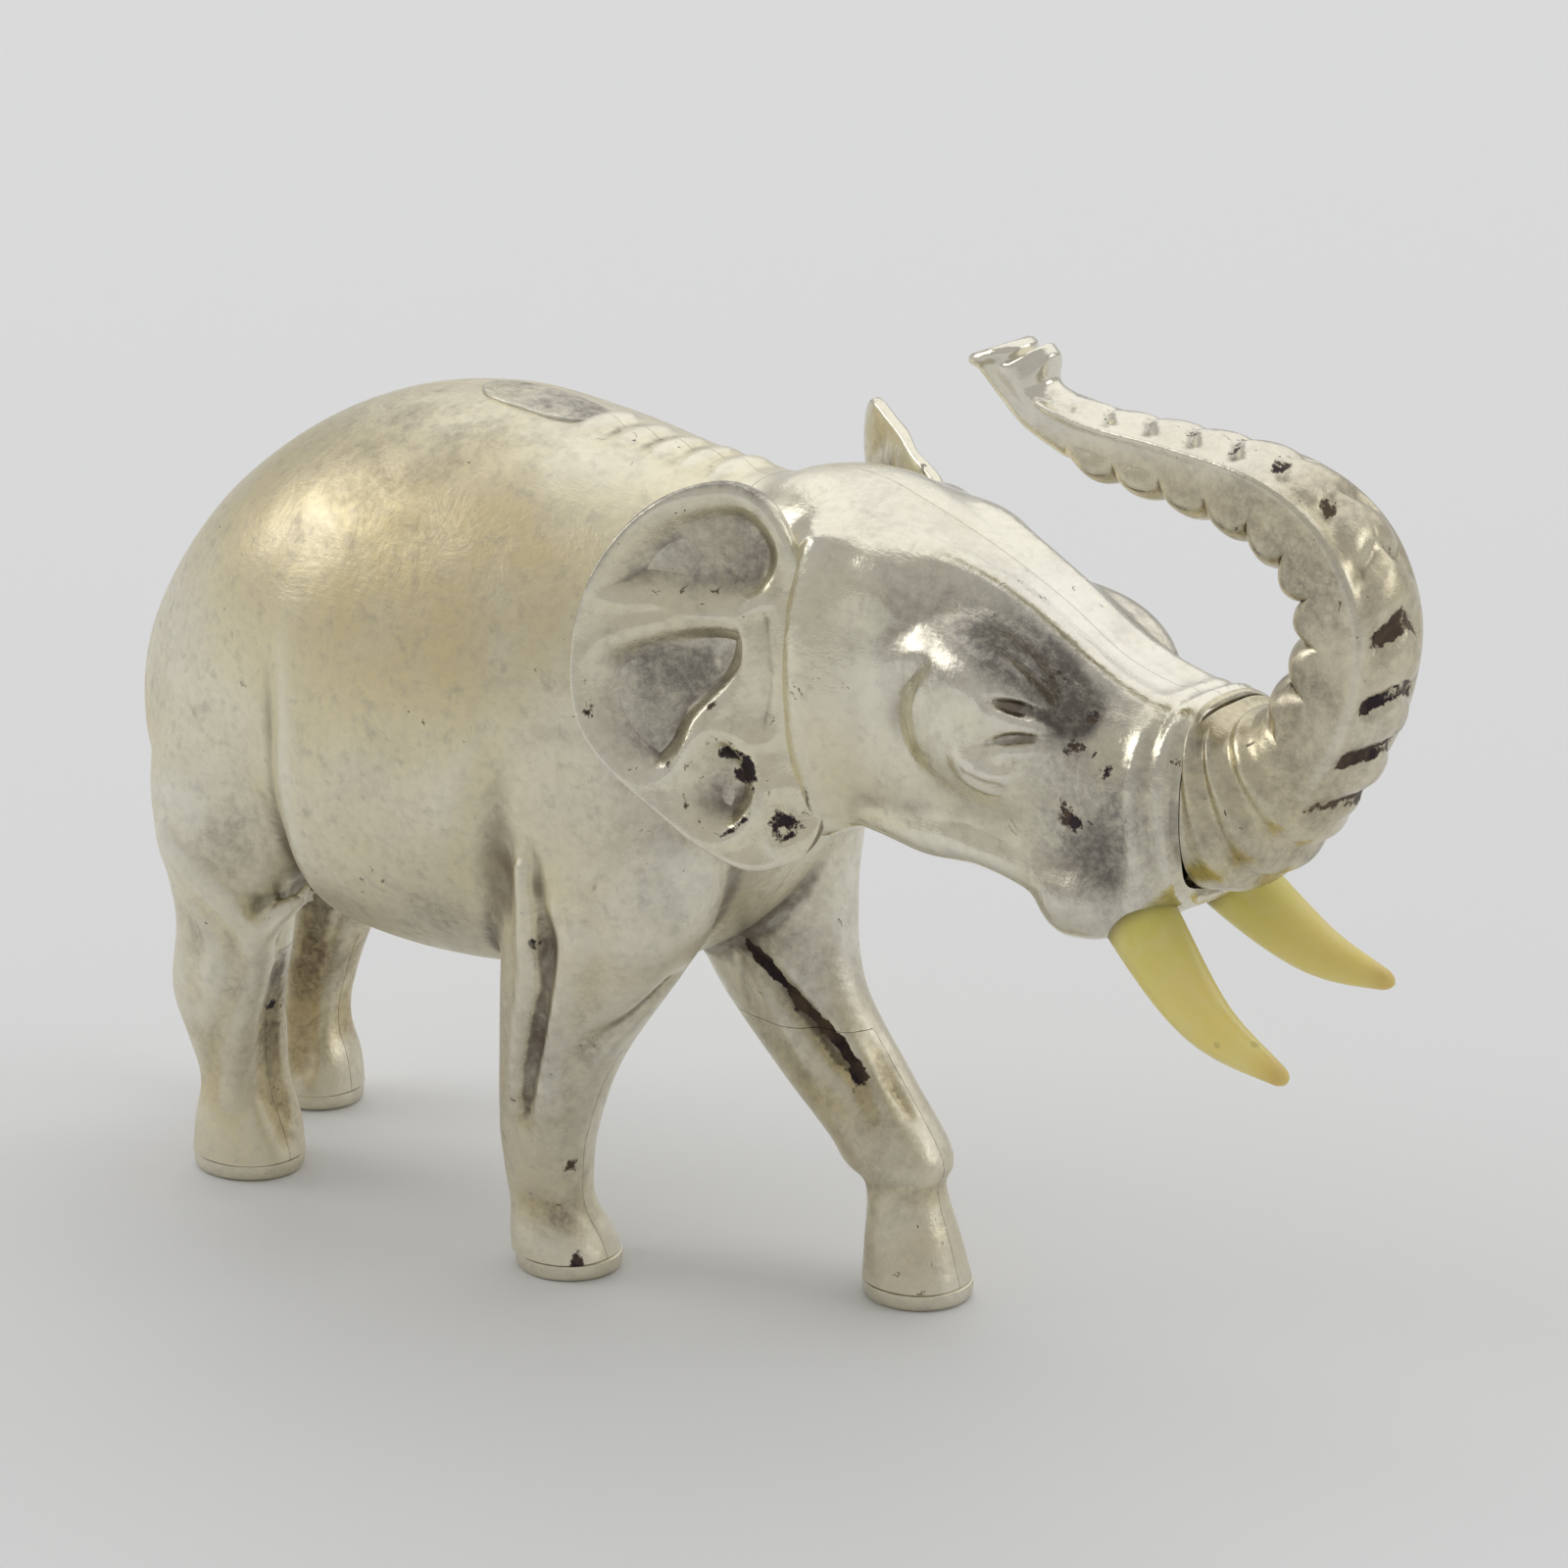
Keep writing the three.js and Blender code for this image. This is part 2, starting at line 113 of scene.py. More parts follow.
class Clay:
    """A block of samples of distance to a surface, in mm, negative inside."""

    def __init__(self, lo, hi, spacing):
        self.spacing = spacing
        self.lo = np.array(lo, float)
        self.axes = [np.arange(a, b, spacing) for a, b in zip(lo, hi)]
        self.field = np.full([len(a) for a in self.axes], 4.0)

    def near(self, lo, hi):
        """The slice of the block within a box, and its x, y and z."""
        part = tuple(
            slice(*np.searchsorted(a, [low, high])) for a, low, high in zip(self.axes, lo, hi)
        )
        axes = [a[s] for a, s in zip(self.axes, part)]
        return part, np.meshgrid(*axes, indexing="ij", sparse=True)

    def blend(self, part, distance, soft, carve=False):
        """Smooth minimum with the shape, or with carve the smooth maximum with its outside."""
        sign = -1 if carve else 1
        here = sign * self.field[part]
        rest = np.clip(soft - np.abs(here - distance), 0, None) / soft
        self.field[part] = sign * (np.minimum(here, distance) - rest**2 * soft / 4)

    def everywhere(self):
        return self.near(self.lo, [a[-1] + 1 for a in self.axes])

    def lump(self, centre, radii, soft=0.8, pitch=0.0, yaw=0.0, carve=False):
        """Ellipsoid, pitched nose down and then turned about z, blended in or carved out."""
        centre = np.array(centre, float)
        size = max(radii) + soft + 1
        part, (x, y, z) = self.near(centre - size, centre + size)
        if 0 in self.field[part].shape:
            return
        x, y, z = x - centre[0], y - centre[1], z - centre[2]
        a, b = np.radians(yaw), np.radians(pitch)
        x, y = x * np.cos(a) + y * np.sin(a), y * np.cos(a) - x * np.sin(a)
        x, z = x * np.cos(b) - z * np.sin(b), z * np.cos(b) + x * np.sin(b)
        scaled = [q / r for q, r in zip((x, y, z), radii)]
        reach = np.sqrt(sum(q**2 for q in scaled)) + 1e-9
        rate = np.sqrt(sum((q / r) ** 2 for q, r in zip(scaled, radii))) + 1e-9
        self.blend(part, reach * (reach - 1) / rate, soft, carve)

    def stroke(self, points, radii, soft=0.4, carve=False):
        """A ball that moves along a smooth curve through the points and changes its radius
        from one to the next, blended in or carved out."""
        radii = np.broadcast_to(radii, len(points))
        line = line_through(np.column_stack([points, radii]), 5 * len(points))
        line, size = line[:, :3], line[:, 3]
        margin = size.max() + soft + 0.6
        part, (x, y, z) = self.near(line.min(0) - margin, line.max(0) + margin)
        if 0 in self.field[part].shape:
            return
        nearest = np.full(self.field[part].shape, 9.0)
        for p, q, r, s in zip(line[:-1], line[1:], size[:-1], size[1:]):
            d = q - p
            share = ((x - p[0]) * d[0] + (y - p[1]) * d[1] + (z - p[2]) * d[2]) / (d @ d)
            share = np.clip(share, 0, 1)
            away = (x - p[0] - share * d[0]) ** 2 + (y - p[1] - share * d[1]) ** 2
            away = np.sqrt(away + (z - p[2] - share * d[2]) ** 2)
            nearest = np.minimum(nearest, away - r - share * (s - r))
        self.blend(part, nearest, soft, carve)


def tube_distance(u, w, half_u, half_w, square=2.0, steep=0.0):
    """About the distance from a superellipse of half axes half_u and half_w, along the ray
    from its middle, less where the sections widen steeply."""
    reach = (np.abs(u / half_u) ** square + np.abs(w / half_w) ** square) ** (1 / square) + 1e-6
    away = np.hypot(u, w)
    return away * (1 - 1 / reach) / np.sqrt(1 + steep**2)


def with_ends(distance, at, x):
    """The distance to a tube, also past its first and last stations, where it is rounded off."""
    beyond = np.clip(np.maximum(at[0] - x, x - at[-1]), 0, None)
    return np.where(beyond > 0, np.hypot(beyond, distance), distance)


TORSO = {
    "at": [-6.2, -5.4, -3.4, 0, 5, 10, 15, 20, 24, 27, 29.5],
    "middle": [19.0, 19.2, 20.0, 21.2, 22.3, 22.7, 22.8, 23.0, 24.1, 26.0, 27.4],
    "side": [0.5, 3.2, 5.6, 7.5, 9.1, 9.5, 9.1, 7.9, 6.4, 4.9, 3.0],
    "rise": [0.5, 4.0, 6.3, 8.8, 10.8, 11.6, 11.3, 10.5, 9.1, 6.9, 4.4],
    "square": 2.15,
}
HEAD = {
    "at": [25, 27, 30, 33, 36, 39, 42, 45, 46.6, 48.6],
    "middle": [27.0, 27.2, 27.2, 26.9, 26.2, 25.2, 24.4, 24.4, 25.0, 25.2],
    "side": [3.4, 4.2, 4.8, 4.8, 4.6, 4.4, 4.2, 4.0, 3.3, 3.2],
    "rise": [5.5, 6.6, 6.9, 6.4, 6.0, 5.6, 4.7, 4.0, 3.5, 3.2],
    "drop": [5.5, 6.5, 6.7, 6.2, 5.5, 4.8, 4.9, 4.5, 3.6, 3.4],
    "square": 2.6,
}
LEG_SQUARE = 2.2
LEGS = {
    "front_right": {
        "at": [-2, 0, 1.3, 2.6, 4, 6, 9.5, 14, 16, 20, 24, 26],
        "x": [17.5, 17.5, 17.2, 16.8, 16.7, 17.0, 18.2, 20.1, 20.9, 21.5, 21.5, 21.6],
        "y": [-3.7, -3.7, -3.7, -3.8, -3.9, -4.2, -4.8, -5.0, -5.0, -4.6, -3.6, -3.0],
        "along": [2.2, 2.2, 2.1, 1.7, 1.75, 1.95, 2.6, 4.0, 4.5, 4.6, 3.4, 1.0],
        "side": [2.1, 2.1, 2.0, 1.65, 1.7, 1.9, 2.1, 2.8, 3.0, 2.9, 2.4, 0.8],
    },
    "front_left": {
        "at": [-2, 0, 2, 4.5, 5.1, 5.9, 8.1, 11.5, 15, 18, 21, 24, 26],
        "x": [30.2, 30.2, 29.9, 29.3, 28.9, 28.4, 26.0, 22.8, 21.4, 21.2, 21.3, 21.4, 21.6],
        "y": [2.7, 2.7, 2.8, 3.0, 3.1, 3.2, 3.4, 3.7, 4.2, 4.5, 4.4, 3.6, 3.0],
        "along": [2.25, 2.25, 1.95, 1.6, 2.25, 2.5, 3.1, 3.5, 4.0, 4.2, 4.1, 3.2, 1.0],
        "side": [2.15, 2.15, 1.85, 1.5, 1.85, 1.95, 1.9, 2.1, 2.5, 2.8, 2.9, 2.4, 0.8],
    },
    "hind_right": {
        "at": [-2, 0, 2, 4, 6, 8, 11, 13, 15, 18, 22, 25],
        "x": [0, 0, 0, 0.1, 0.0, -0.1, 0.7, 1.2, 1.5, 1.9, 2.8, 3.6],
        "y": [-3.8, -3.8, -3.8, -4.0, -4.3, -4.6, -4.9, -5.0, -5.0, -4.8, -4.0, -3.2],
        "along": [2.4, 2.4, 2.2, 1.8, 2.0, 2.3, 2.5, 3.1, 3.9, 4.5, 3.6, 1.0],
        "side": [2.2, 2.2, 2.1, 1.8, 2.0, 2.2, 2.4, 2.8, 3.2, 3.4, 2.8, 0.8],
    },
    "hind_left": {
        "at": [-2, 0, 2, 3.5, 5, 8, 11, 14, 18, 22, 25],
        "x": [-3.3, -3.3, -3.4, -3.7, -3.7, -3.1, -1.6, 0.2, 1.6, 2.8, 3.6],
        "y": [3.7, 3.7, 3.7, 3.8, 4.0, 4.5, 4.9, 5.0, 4.8, 4.0, 3.2],
        "along": [2.2, 2.2, 2.1, 1.8, 1.8, 2.1, 2.8, 3.9, 4.7, 3.6, 1.0],
        "side": [2.0, 2.0, 2.0, 1.8, 1.8, 2.0, 2.4, 3.0, 3.4, 2.8, 0.8],
    },
}
# Strokes on the legs and haunches: a cut, a ridge, or a cut on both sides of the figure, its
# softness, and its points with the radius at each
FOLDS = [
    # Shoulder: the hollow behind it, the folds and the dents of the near foreleg
    ("both", 1.4, [(15.6, -8.5, 14.2, 0.5), (16.9, -8.7, 17.2, 1.0), (18.0, -9.2, 20.4, 1.0),
                   (18.9, -9.3, 23.0, 0.3)]),
    ("ridge", 0.8, [(18.9, -7.8, 18.0, 0.2), (19.0, -7.4, 13.6, 0.4), (18.1, -6.9, 10.6, 0.4),
                    (17.3, -6.3, 7.4, 0.2)]),
    ("ridge", 0.9, [(21.9, -7.6, 15.9, 0.3), (20.6, -7.3, 13.3, 0.4), (19.5, -6.8, 10.9, 0.4),
                    (18.5, -6.1, 7.6, 0.2)]),
    ("cut", 0.5, [(19.4, -8.1, 19.2, 0.15), (19.8, -8.1, 16.8, 0.35), (20.0, -8.0, 15.3, 0.6),
                  (19.9, -7.8, 13.4, 0.35), (19.0, -7.3, 11.0, 0.4), (18.1, -6.8, 8.8, 0.35),
                  (17.5, -6.3, 6.8, 0.15)]),
    ("cut", 0.7, [(23.9, -4.9, 13.8, 0.2), (22.7, -5.5, 12.2, 0.35), (21.5, -6.4, 11.0, 0.4),
                  (20.6, -6.5, 9.8, 0.3), (19.9, -6.3, 8.6, 0.1)]),
    ("both", 0.25, [(21.7, -8.0, 17.6, 0.1), (22.4, -7.9, 18.0, 0.25), (23.0, -7.7, 18.4, 0.1)]),
    ("cut", 0.4, [(16.3, -5.8, 3.1, 0.15), (17.3, -5.7, 2.8, 0.25), (18.3, -5.3, 2.7, 0.35),
                  (19.0, -4.6, 2.1, 0.3), (19.7, -4.1, 1.2, 0.15)]),
    # Haunch: the valley behind the belly, two folds that meet above the knee and run down as one,
    # the dents beside them, and a hollow down the far hind leg
    ("both", 1.3, [(3.6, -9.3, 19.0, 0.6), (3.8, -8.8, 16.2, 1.3), (3.7, -7.9, 14.2, 0.7)]),
    ("cut", 1.2, [(-1.0, -8.0, 13.0, 0.4), (-0.3, -7.9, 10.8, 1.0), (-0.2, -7.5, 8.4, 0.4)]),
    ("ridge", 0.8, [(-0.2, -7.9, 15.6, 0.2), (1.2, -7.5, 14.2, 0.5), (2.4, -7.0, 12.7, 0.5),
                    (2.9, -6.0, 11.0, 0.5), (2.4, -5.6, 9.4, 0.45), (1.4, -5.6, 6.6, 0.4),
                    (0.8, -5.5, 3.6, 0.2)]),
    ("ridge", 0.7, [(4.6, -4.4, 13.2, 0.2), (3.8, -5.5, 12.3, 0.45), (2.9, -6.0, 11.0, 0.45)]),
    ("cut", 0.9, [(3.0, -4.2, 9.2, 0.4), (2.7, -4.0, 6.4, 1.0), (2.5, -3.9, 3.8, 1.0),
                  (2.6, -3.9, 1.8, 0.3)]),
    ("ridge", 0.9, [(-2.0, -4.8, 10.6, 0.3), (-2.1, -4.6, 8.2, 0.7), (-1.6, -4.2, 5.6, 0.3)]),
    ("cut", 0.8, [(-1.4, 2.4, 12.0, 0.4), (-1.9, 2.2, 8.5, 0.9), (-2.3, 2.0, 5.0, 0.9),
                  (-2.4, 1.8, 2.2, 0.3)]),
    # Far foreleg: a ridge, a deep slit down its middle and a shallow crease beyond it
    ("ridge", 0.4, [(21.8, 1.8, 12.9, 0.15), (23.2, 1.8, 11.3, 0.3), (24.9, 1.8, 9.4, 0.3),
                    (27.2, 1.9, 7.0, 0.2)]),
    ("cut", 0.3, [(21.6, 1.5, 13.8, 0.1), (24.0, 1.7, 11.8, 0.35), (25.4, 1.85, 10.6, 0.45),
                  (26.6, 1.95, 9.6, 0.5), (27.6, 2.0, 8.7, 0.3), (28.8, 1.7, 7.2, 0.15)]),
    ("cut", 0.3, [(26.4, 2.6, 11.2, 0.1), (27.8, 3.0, 9.6, 0.2), (28.8, 2.9, 8.3, 0.2),
                  (29.7, 2.8, 7.2, 0.1)]),
]
# How far forward the haunch lies under the belly's rear edge, at each height
BELLY_EDGE = {"z": [10, 11.5, 14, 18, 22, 26, 29], "x": [6.9, 6.7, 6.3, 7.0, 7.6, 7.6, 7.4]}
SPINE = (16.8, 18.6, 20.3, 21.9, 23.4)  # where its knobs are


def add_torso(clay):
    """The barrel: elliptical sections along x."""
    part, (x, y, z) = clay.everywhere()
    middle, side, rise = (curve(TORSO["at"], TORSO[k], x) for k in ("middle", "side", "rise"))
    steep = np.abs(np.gradient(side[:, 0, 0], x[:, 0, 0]))[:, None, None]
    distance = tube_distance(y, z - middle, side, rise, TORSO["square"], steep)
    clay.blend(part, with_ends(distance, TORSO["at"], x), 0.1)


def add_leg(clay, leg, soft):
    """Elliptical level sections up into the body."""
    part, (x, y, z) = clay.everywhere()
    x0, y0, along, side = (curve(leg["at"], leg[k], z) for k in ("x", "y", "along", "side"))
    distance = tube_distance(x - x0, y - y0, along, side, LEG_SQUARE)
    clay.blend(part, with_ends(distance, leg["at"], z), soft)


def add_head(clay, soft):
    """Squarish upright sections from inside the neck to past the muzzle."""
    part, (x, y, z) = clay.everywhere()
    middle, side, up, down = (
        curve(HEAD["at"], HEAD[k], x) for k in ("middle", "side", "rise", "drop")
    )
    height = np.where(z > middle, up, down)
    distance = tube_distance(y, z - middle, side, height, HEAD["square"])
    clay.blend(part, with_ends(distance, HEAD["at"], x), soft)


def skin(clay):
    """The zero surface of a block by surface nets: one vertex in each cell that it crosses, at
    the mean of its crossings with the cell's edges, and a quad round each crossed edge."""
    f = clay.field
    inside = f < 0
    cells = [n - 1 for n in f.shape]
    corners = [(i, j, k) for i in (0, 1) for j in (0, 1) for k in (0, 1)]
    count = sum(
        inside[i : i + cells[0], j : j + cells[1], k : k + cells[2]].astype(np.int8)
        for i, j, k in corners
    )
    crossed = (count > 0) & (count < 8)
    number = np.full(crossed.shape, -1)
    number[crossed] = np.arange(crossed.sum())
    at = np.argwhere(crossed)
    value = {c: f[tuple((at + c).T)] for c in corners}
    total = np.zeros(at.shape)
    hits = np.zeros(len(at))
    for a in corners:
        for axis in range(3):
            if a[axis]:
                continue
            b = tuple(a[i] + (i == axis) for i in range(3))
            cut = (value[a] < 0) != (value[b] < 0)
            t = value[a] / np.where(cut, value[a] - value[b], 1)
            point = np.array(a, float) + np.outer(t, np.eye(3)[axis])
            total += np.where(cut[:, None], point, 0)
            hits += cut
    points = clay.lo + (at + total / hits[:, None]) * clay.spacing
    quads = []
    for axis in range(3):
        ahead = [slice(None)] * 3
        behind = [slice(None)] * 3
        ahead[axis], behind[axis] = slice(1, None), slice(None, -1)
        edge = np.argwhere(inside[tuple(behind)] != inside[tuple(ahead)])
        one, two = (axis + 1) % 3, (axis + 2) % 3
        keep = (edge[:, one] > 0) & (edge[:, two] > 0)
        keep &= (edge[:, one] < cells[one]) & (edge[:, two] < cells[two])
        edge = edge[keep]
        ring = []
        for da, db in ((1, 1), (0, 1), (0, 0), (1, 0)):
            cell = edge.copy()
            cell[:, one] -= da
            cell[:, two] -= db
            ring.append(number[tuple(cell.T)])
        ring = np.array(ring).T
        leaving = inside[tuple(edge.T)]
        quads.append(np.where(leaving[:, None], ring, ring[:, ::-1]))
    return points, np.concatenate(quads)


# ---- Meshes ---------------------------------------------------------------------------------


def triangles(quads):
    return np.concatenate([quads[:, [0, 1, 2]], quads[:, [0, 2, 3]]])


def unique_pairs(pairs):
    """The different unordered pairs, and for each given pair which of them it is."""
    low, high = pairs.min(1).astype(np.int64), pairs.max(1).astype(np.int64)
    size = high.max(initial=0) + 1
    keys, back = np.unique(low * size + high, return_inverse=True)
    return np.array([keys // size, keys % size]).T, back.ravel()


def neighbours(faces):
    """Pairs of vertices that share an edge, each once."""
    pairs = np.concatenate([faces[:, [i, (i + 1) % faces.shape[1]]] for i in range(faces.shape[1])])
    return unique_pairs(pairs)[0]


def average(values, pairs, count):
    """Mean of the neighbours' values at every vertex."""
    total = np.zeros_like(values)
    for i in range(values.shape[1]):
        total[:, i] = np.bincount(pairs[:, 0], values[pairs[:, 1], i], len(values))
        total[:, i] += np.bincount(pairs[:, 1], values[pairs[:, 0], i], len(values))
    return total / count[:, None]


def relax(points, faces, rounds, shrink=0.5, swell=-0.52):
    """Taubin smoothing: towards the mean of the neighbours, then away by a little more."""
    pairs = neighbours(faces)
    count = np.maximum(np.bincount(pairs.ravel(), minlength=len(points)), 1)
    for _ in range(rounds):
        for factor in (shrink, swell):
            points = points + factor * (average(points, pairs, count) - points)
    return points


def normals(points, faces):
    """Unit normals of the vertices, weighted by area."""
    a, b, c = (points[faces[:, i]] for i in range(3))
    cross = np.cross(b - a, c - a)
    total = np.zeros_like(points)
    for i in range(faces.shape[1]):
        for j in range(3):
            total[:, j] += np.bincount(faces[:, i], cross[:, j], len(points))
    return total / np.maximum(np.linalg.norm(total, axis=1), 1e-12)[:, None]


def clip(points, faces, height):
    """The part of a triangle mesh where height is positive. Triangles across zero are cut."""
    inside = height > 0
    count = inside[faces].sum(1)
    kept = [faces[count == 3]]
    cuts, forms = [], []
    for odd_inside in (True, False):
        part = faces[count == (1 if odd_inside else 2)]
        first = (inside[part] == odd_inside).argmax(1)
        part = np.array([part[np.arange(len(part)), (first + i) % 3] for i in range(3)]).T
        cuts.append(part)
        forms.append(odd_inside)
    edges = np.concatenate([part[:, pair] for part in cuts for pair in ([0, 1], [0, 2])])
    unique, back = unique_pairs(edges)
    back = back + len(points)
    a, b = unique.T
    t = height[a] / (height[a] - height[b])
    fresh = points[a] + t[:, None] * (points[b] - points[a])
    offset = 0
    for part, odd_inside in zip(cuts, forms):
        n = len(part)
        one, two = back[offset : offset + n], back[offset + n : offset + 2 * n]
        offset += 2 * n
        if odd_inside:
            kept.append(np.array([part[:, 0], one, two]).T)
        else:
            kept.append(np.array([one, part[:, 1], part[:, 2]]).T)
            kept.append(np.array([one, part[:, 2], two]).T)
    faces = np.concatenate(kept)
    points = np.concatenate([points, fresh])
    used, faces = np.unique(faces, return_inverse=True)
    return points[used], faces.reshape(-1, 3)


def main_part(points, faces):
    """The largest connected part of a mesh."""
    label = np.arange(len(points))
    pairs = neighbours(faces)
    while True:
        low = np.minimum(label[pairs[:, 0]], label[pairs[:, 1]])
        fresh = label.copy()
        np.minimum.at(fresh, pairs[:, 0], low)
        np.minimum.at(fresh, pairs[:, 1], low)
        fresh = fresh[fresh]
        if (fresh == label).all():
            break
        label = fresh
    main = np.bincount(label[faces[:, 0]]).argmax()
    faces = faces[label[faces[:, 0]] == main]
    used, faces = np.unique(faces, return_inverse=True)
    return points[used], faces.reshape(-1, 3)


def sheet(points, faces, wall):
    """Sheet metal: the surface, a copy of it moved in by the wall, and a rim between the two."""
    n = len(points)
    inner = points - wall * normals(points, faces)
    edges = np.concatenate([faces[:, [i, (i + 1) % 3]] for i in range(3)])
    forward = edges[:, 0] * n + edges[:, 1]
    rim = edges[~np.isin(forward, edges[:, 1] * n + edges[:, 0])]
    a, b = rim.T
    sides = np.array([b, a, a + n, b + n]).T
    return np.concatenate([points, inner]), np.concatenate(
        [faces, faces[:, ::-1] + n, triangles(sides)]
    )


def hollowness(points, faces, rounds):
    """How far each vertex lies below the smoothed surface, in mm: positive in grooves."""
    smooth = points
    pairs = neighbours(faces)
    count = np.maximum(np.bincount(pairs.ravel(), minlength=len(points)), 1)
    for _ in range(rounds):
        smooth = average(smooth, pairs, count)
    return ((smooth - points) * normals(points, faces)).sum(1)


def make(name, points, faces, material, replaces, masks=None):
    """A mesh object from points in mm from the datum. It rides on the root and stands for
    the named node of the frame. masks are values per vertex that its material reads."""
    mesh = bpy.data.meshes.new(name)
    mesh.vertices.add(len(points))
    mesh.vertices.foreach_set("co", (points * MM + DATUM).astype(np.float32).ravel())
    size = faces.shape[1]
    mesh.loops.add(faces.size)
    mesh.loops.foreach_set("vertex_index", faces.astype(np.int32).ravel())
    mesh.polygons.add(len(faces))
    mesh.polygons.foreach_set("loop_start", np.arange(0, faces.size, size, dtype=np.int32))
    mesh.polygons.foreach_set("use_smooth", np.ones(len(faces), bool))
    mesh.update()
    mesh.validate()
    mesh.set_sharp_from_angle(angle=np.radians(55))
    for key, values in (masks or {}).items():
        layer = mesh.attributes.new(key, "FLOAT", "POINT")
        layer.data.foreach_set("value", values.astype(np.float32))
    mesh.materials.append(material)
    piece = bpy.data.objects.new(name, mesh)
    bpy.context.scene.collection.objects.link(piece)
    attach(piece, "root")
    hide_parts(replaces)
    return piece


# ---- The figure in clay ---------------------------------------------------------------------


def mirrored(points, side):
    """Points given for the left, moved to a side."""
    return [(x, side * y, z) for x, y, z in points]


def shape_body(clay):
    """Barrel and legs, the folds, and the knobs of the spine. The haunches are pressed in by
    about a millimetre behind the belly's edge. The press fades out towards the rump, towards
    the back, towards the middle plane and down the leg."""
    add_torso(clay)
    for leg in LEGS.values():
        add_leg(clay, leg, 1.0)
    part, (x, y, z) = clay.near((0, -12, 9), (10, 12, 31))
    edge = curve(BELLY_EDGE["z"], BELLY_EDGE["x"], z)
    press = step(edge - x, -0.5, 1.5) * step(x, -0.5, 5.5)
    press = press * step(z, 29, 21) * step(np.abs(y), 2, 4)
    clay.field[part] += (0.8 + 0.4 * step(z, 20, 14)) * press * step(z, 9.5, 13)
    for kind, soft, points in FOLDS:
        points = np.array(points)
        for side in (1, -1) if kind == "both" else (1,):
            clay.stroke(points[:, :3] * (1, side, 1), points[:, 3], soft, kind != "ridge")
    for x in SPINE:
        top = curve(TORSO["at"], TORSO["middle"], x) + curve(TORSO["at"], TORSO["rise"], x)
        clay.lump((x, 0, top - 0.2), (0.65, 1.6, 0.55), 0.4)


CREASES = [  # round the eye, on the left, each with the radii of its groove
    ([(39.2, 5.5, 28.3), (40.2, 4.9, 28.1), (41.1, 4.55, 27.9),
      (42.3, 3.8, 27.6)], [0.12, 0.28, 0.28, 0.12]),
    ([(39.0, 5.5, 26.5), (40.4, 5.0, 26.9), (41.9, 4.35, 27.0)], [0.1, 0.28, 0.1]),
    ([(38.3, 5.6, 25.4), (39.1, 5.5, 24.95), (40.2, 5.15, 24.9),
      (41.5, 4.6, 25.4)], [0.1, 0.35, 0.28, 0.1]),
    ([(39.3, 5.65, 25.9), (40.3, 5.15, 25.9), (41.4, 4.7, 26.2)], [0.08, 0.2, 0.08]),
]


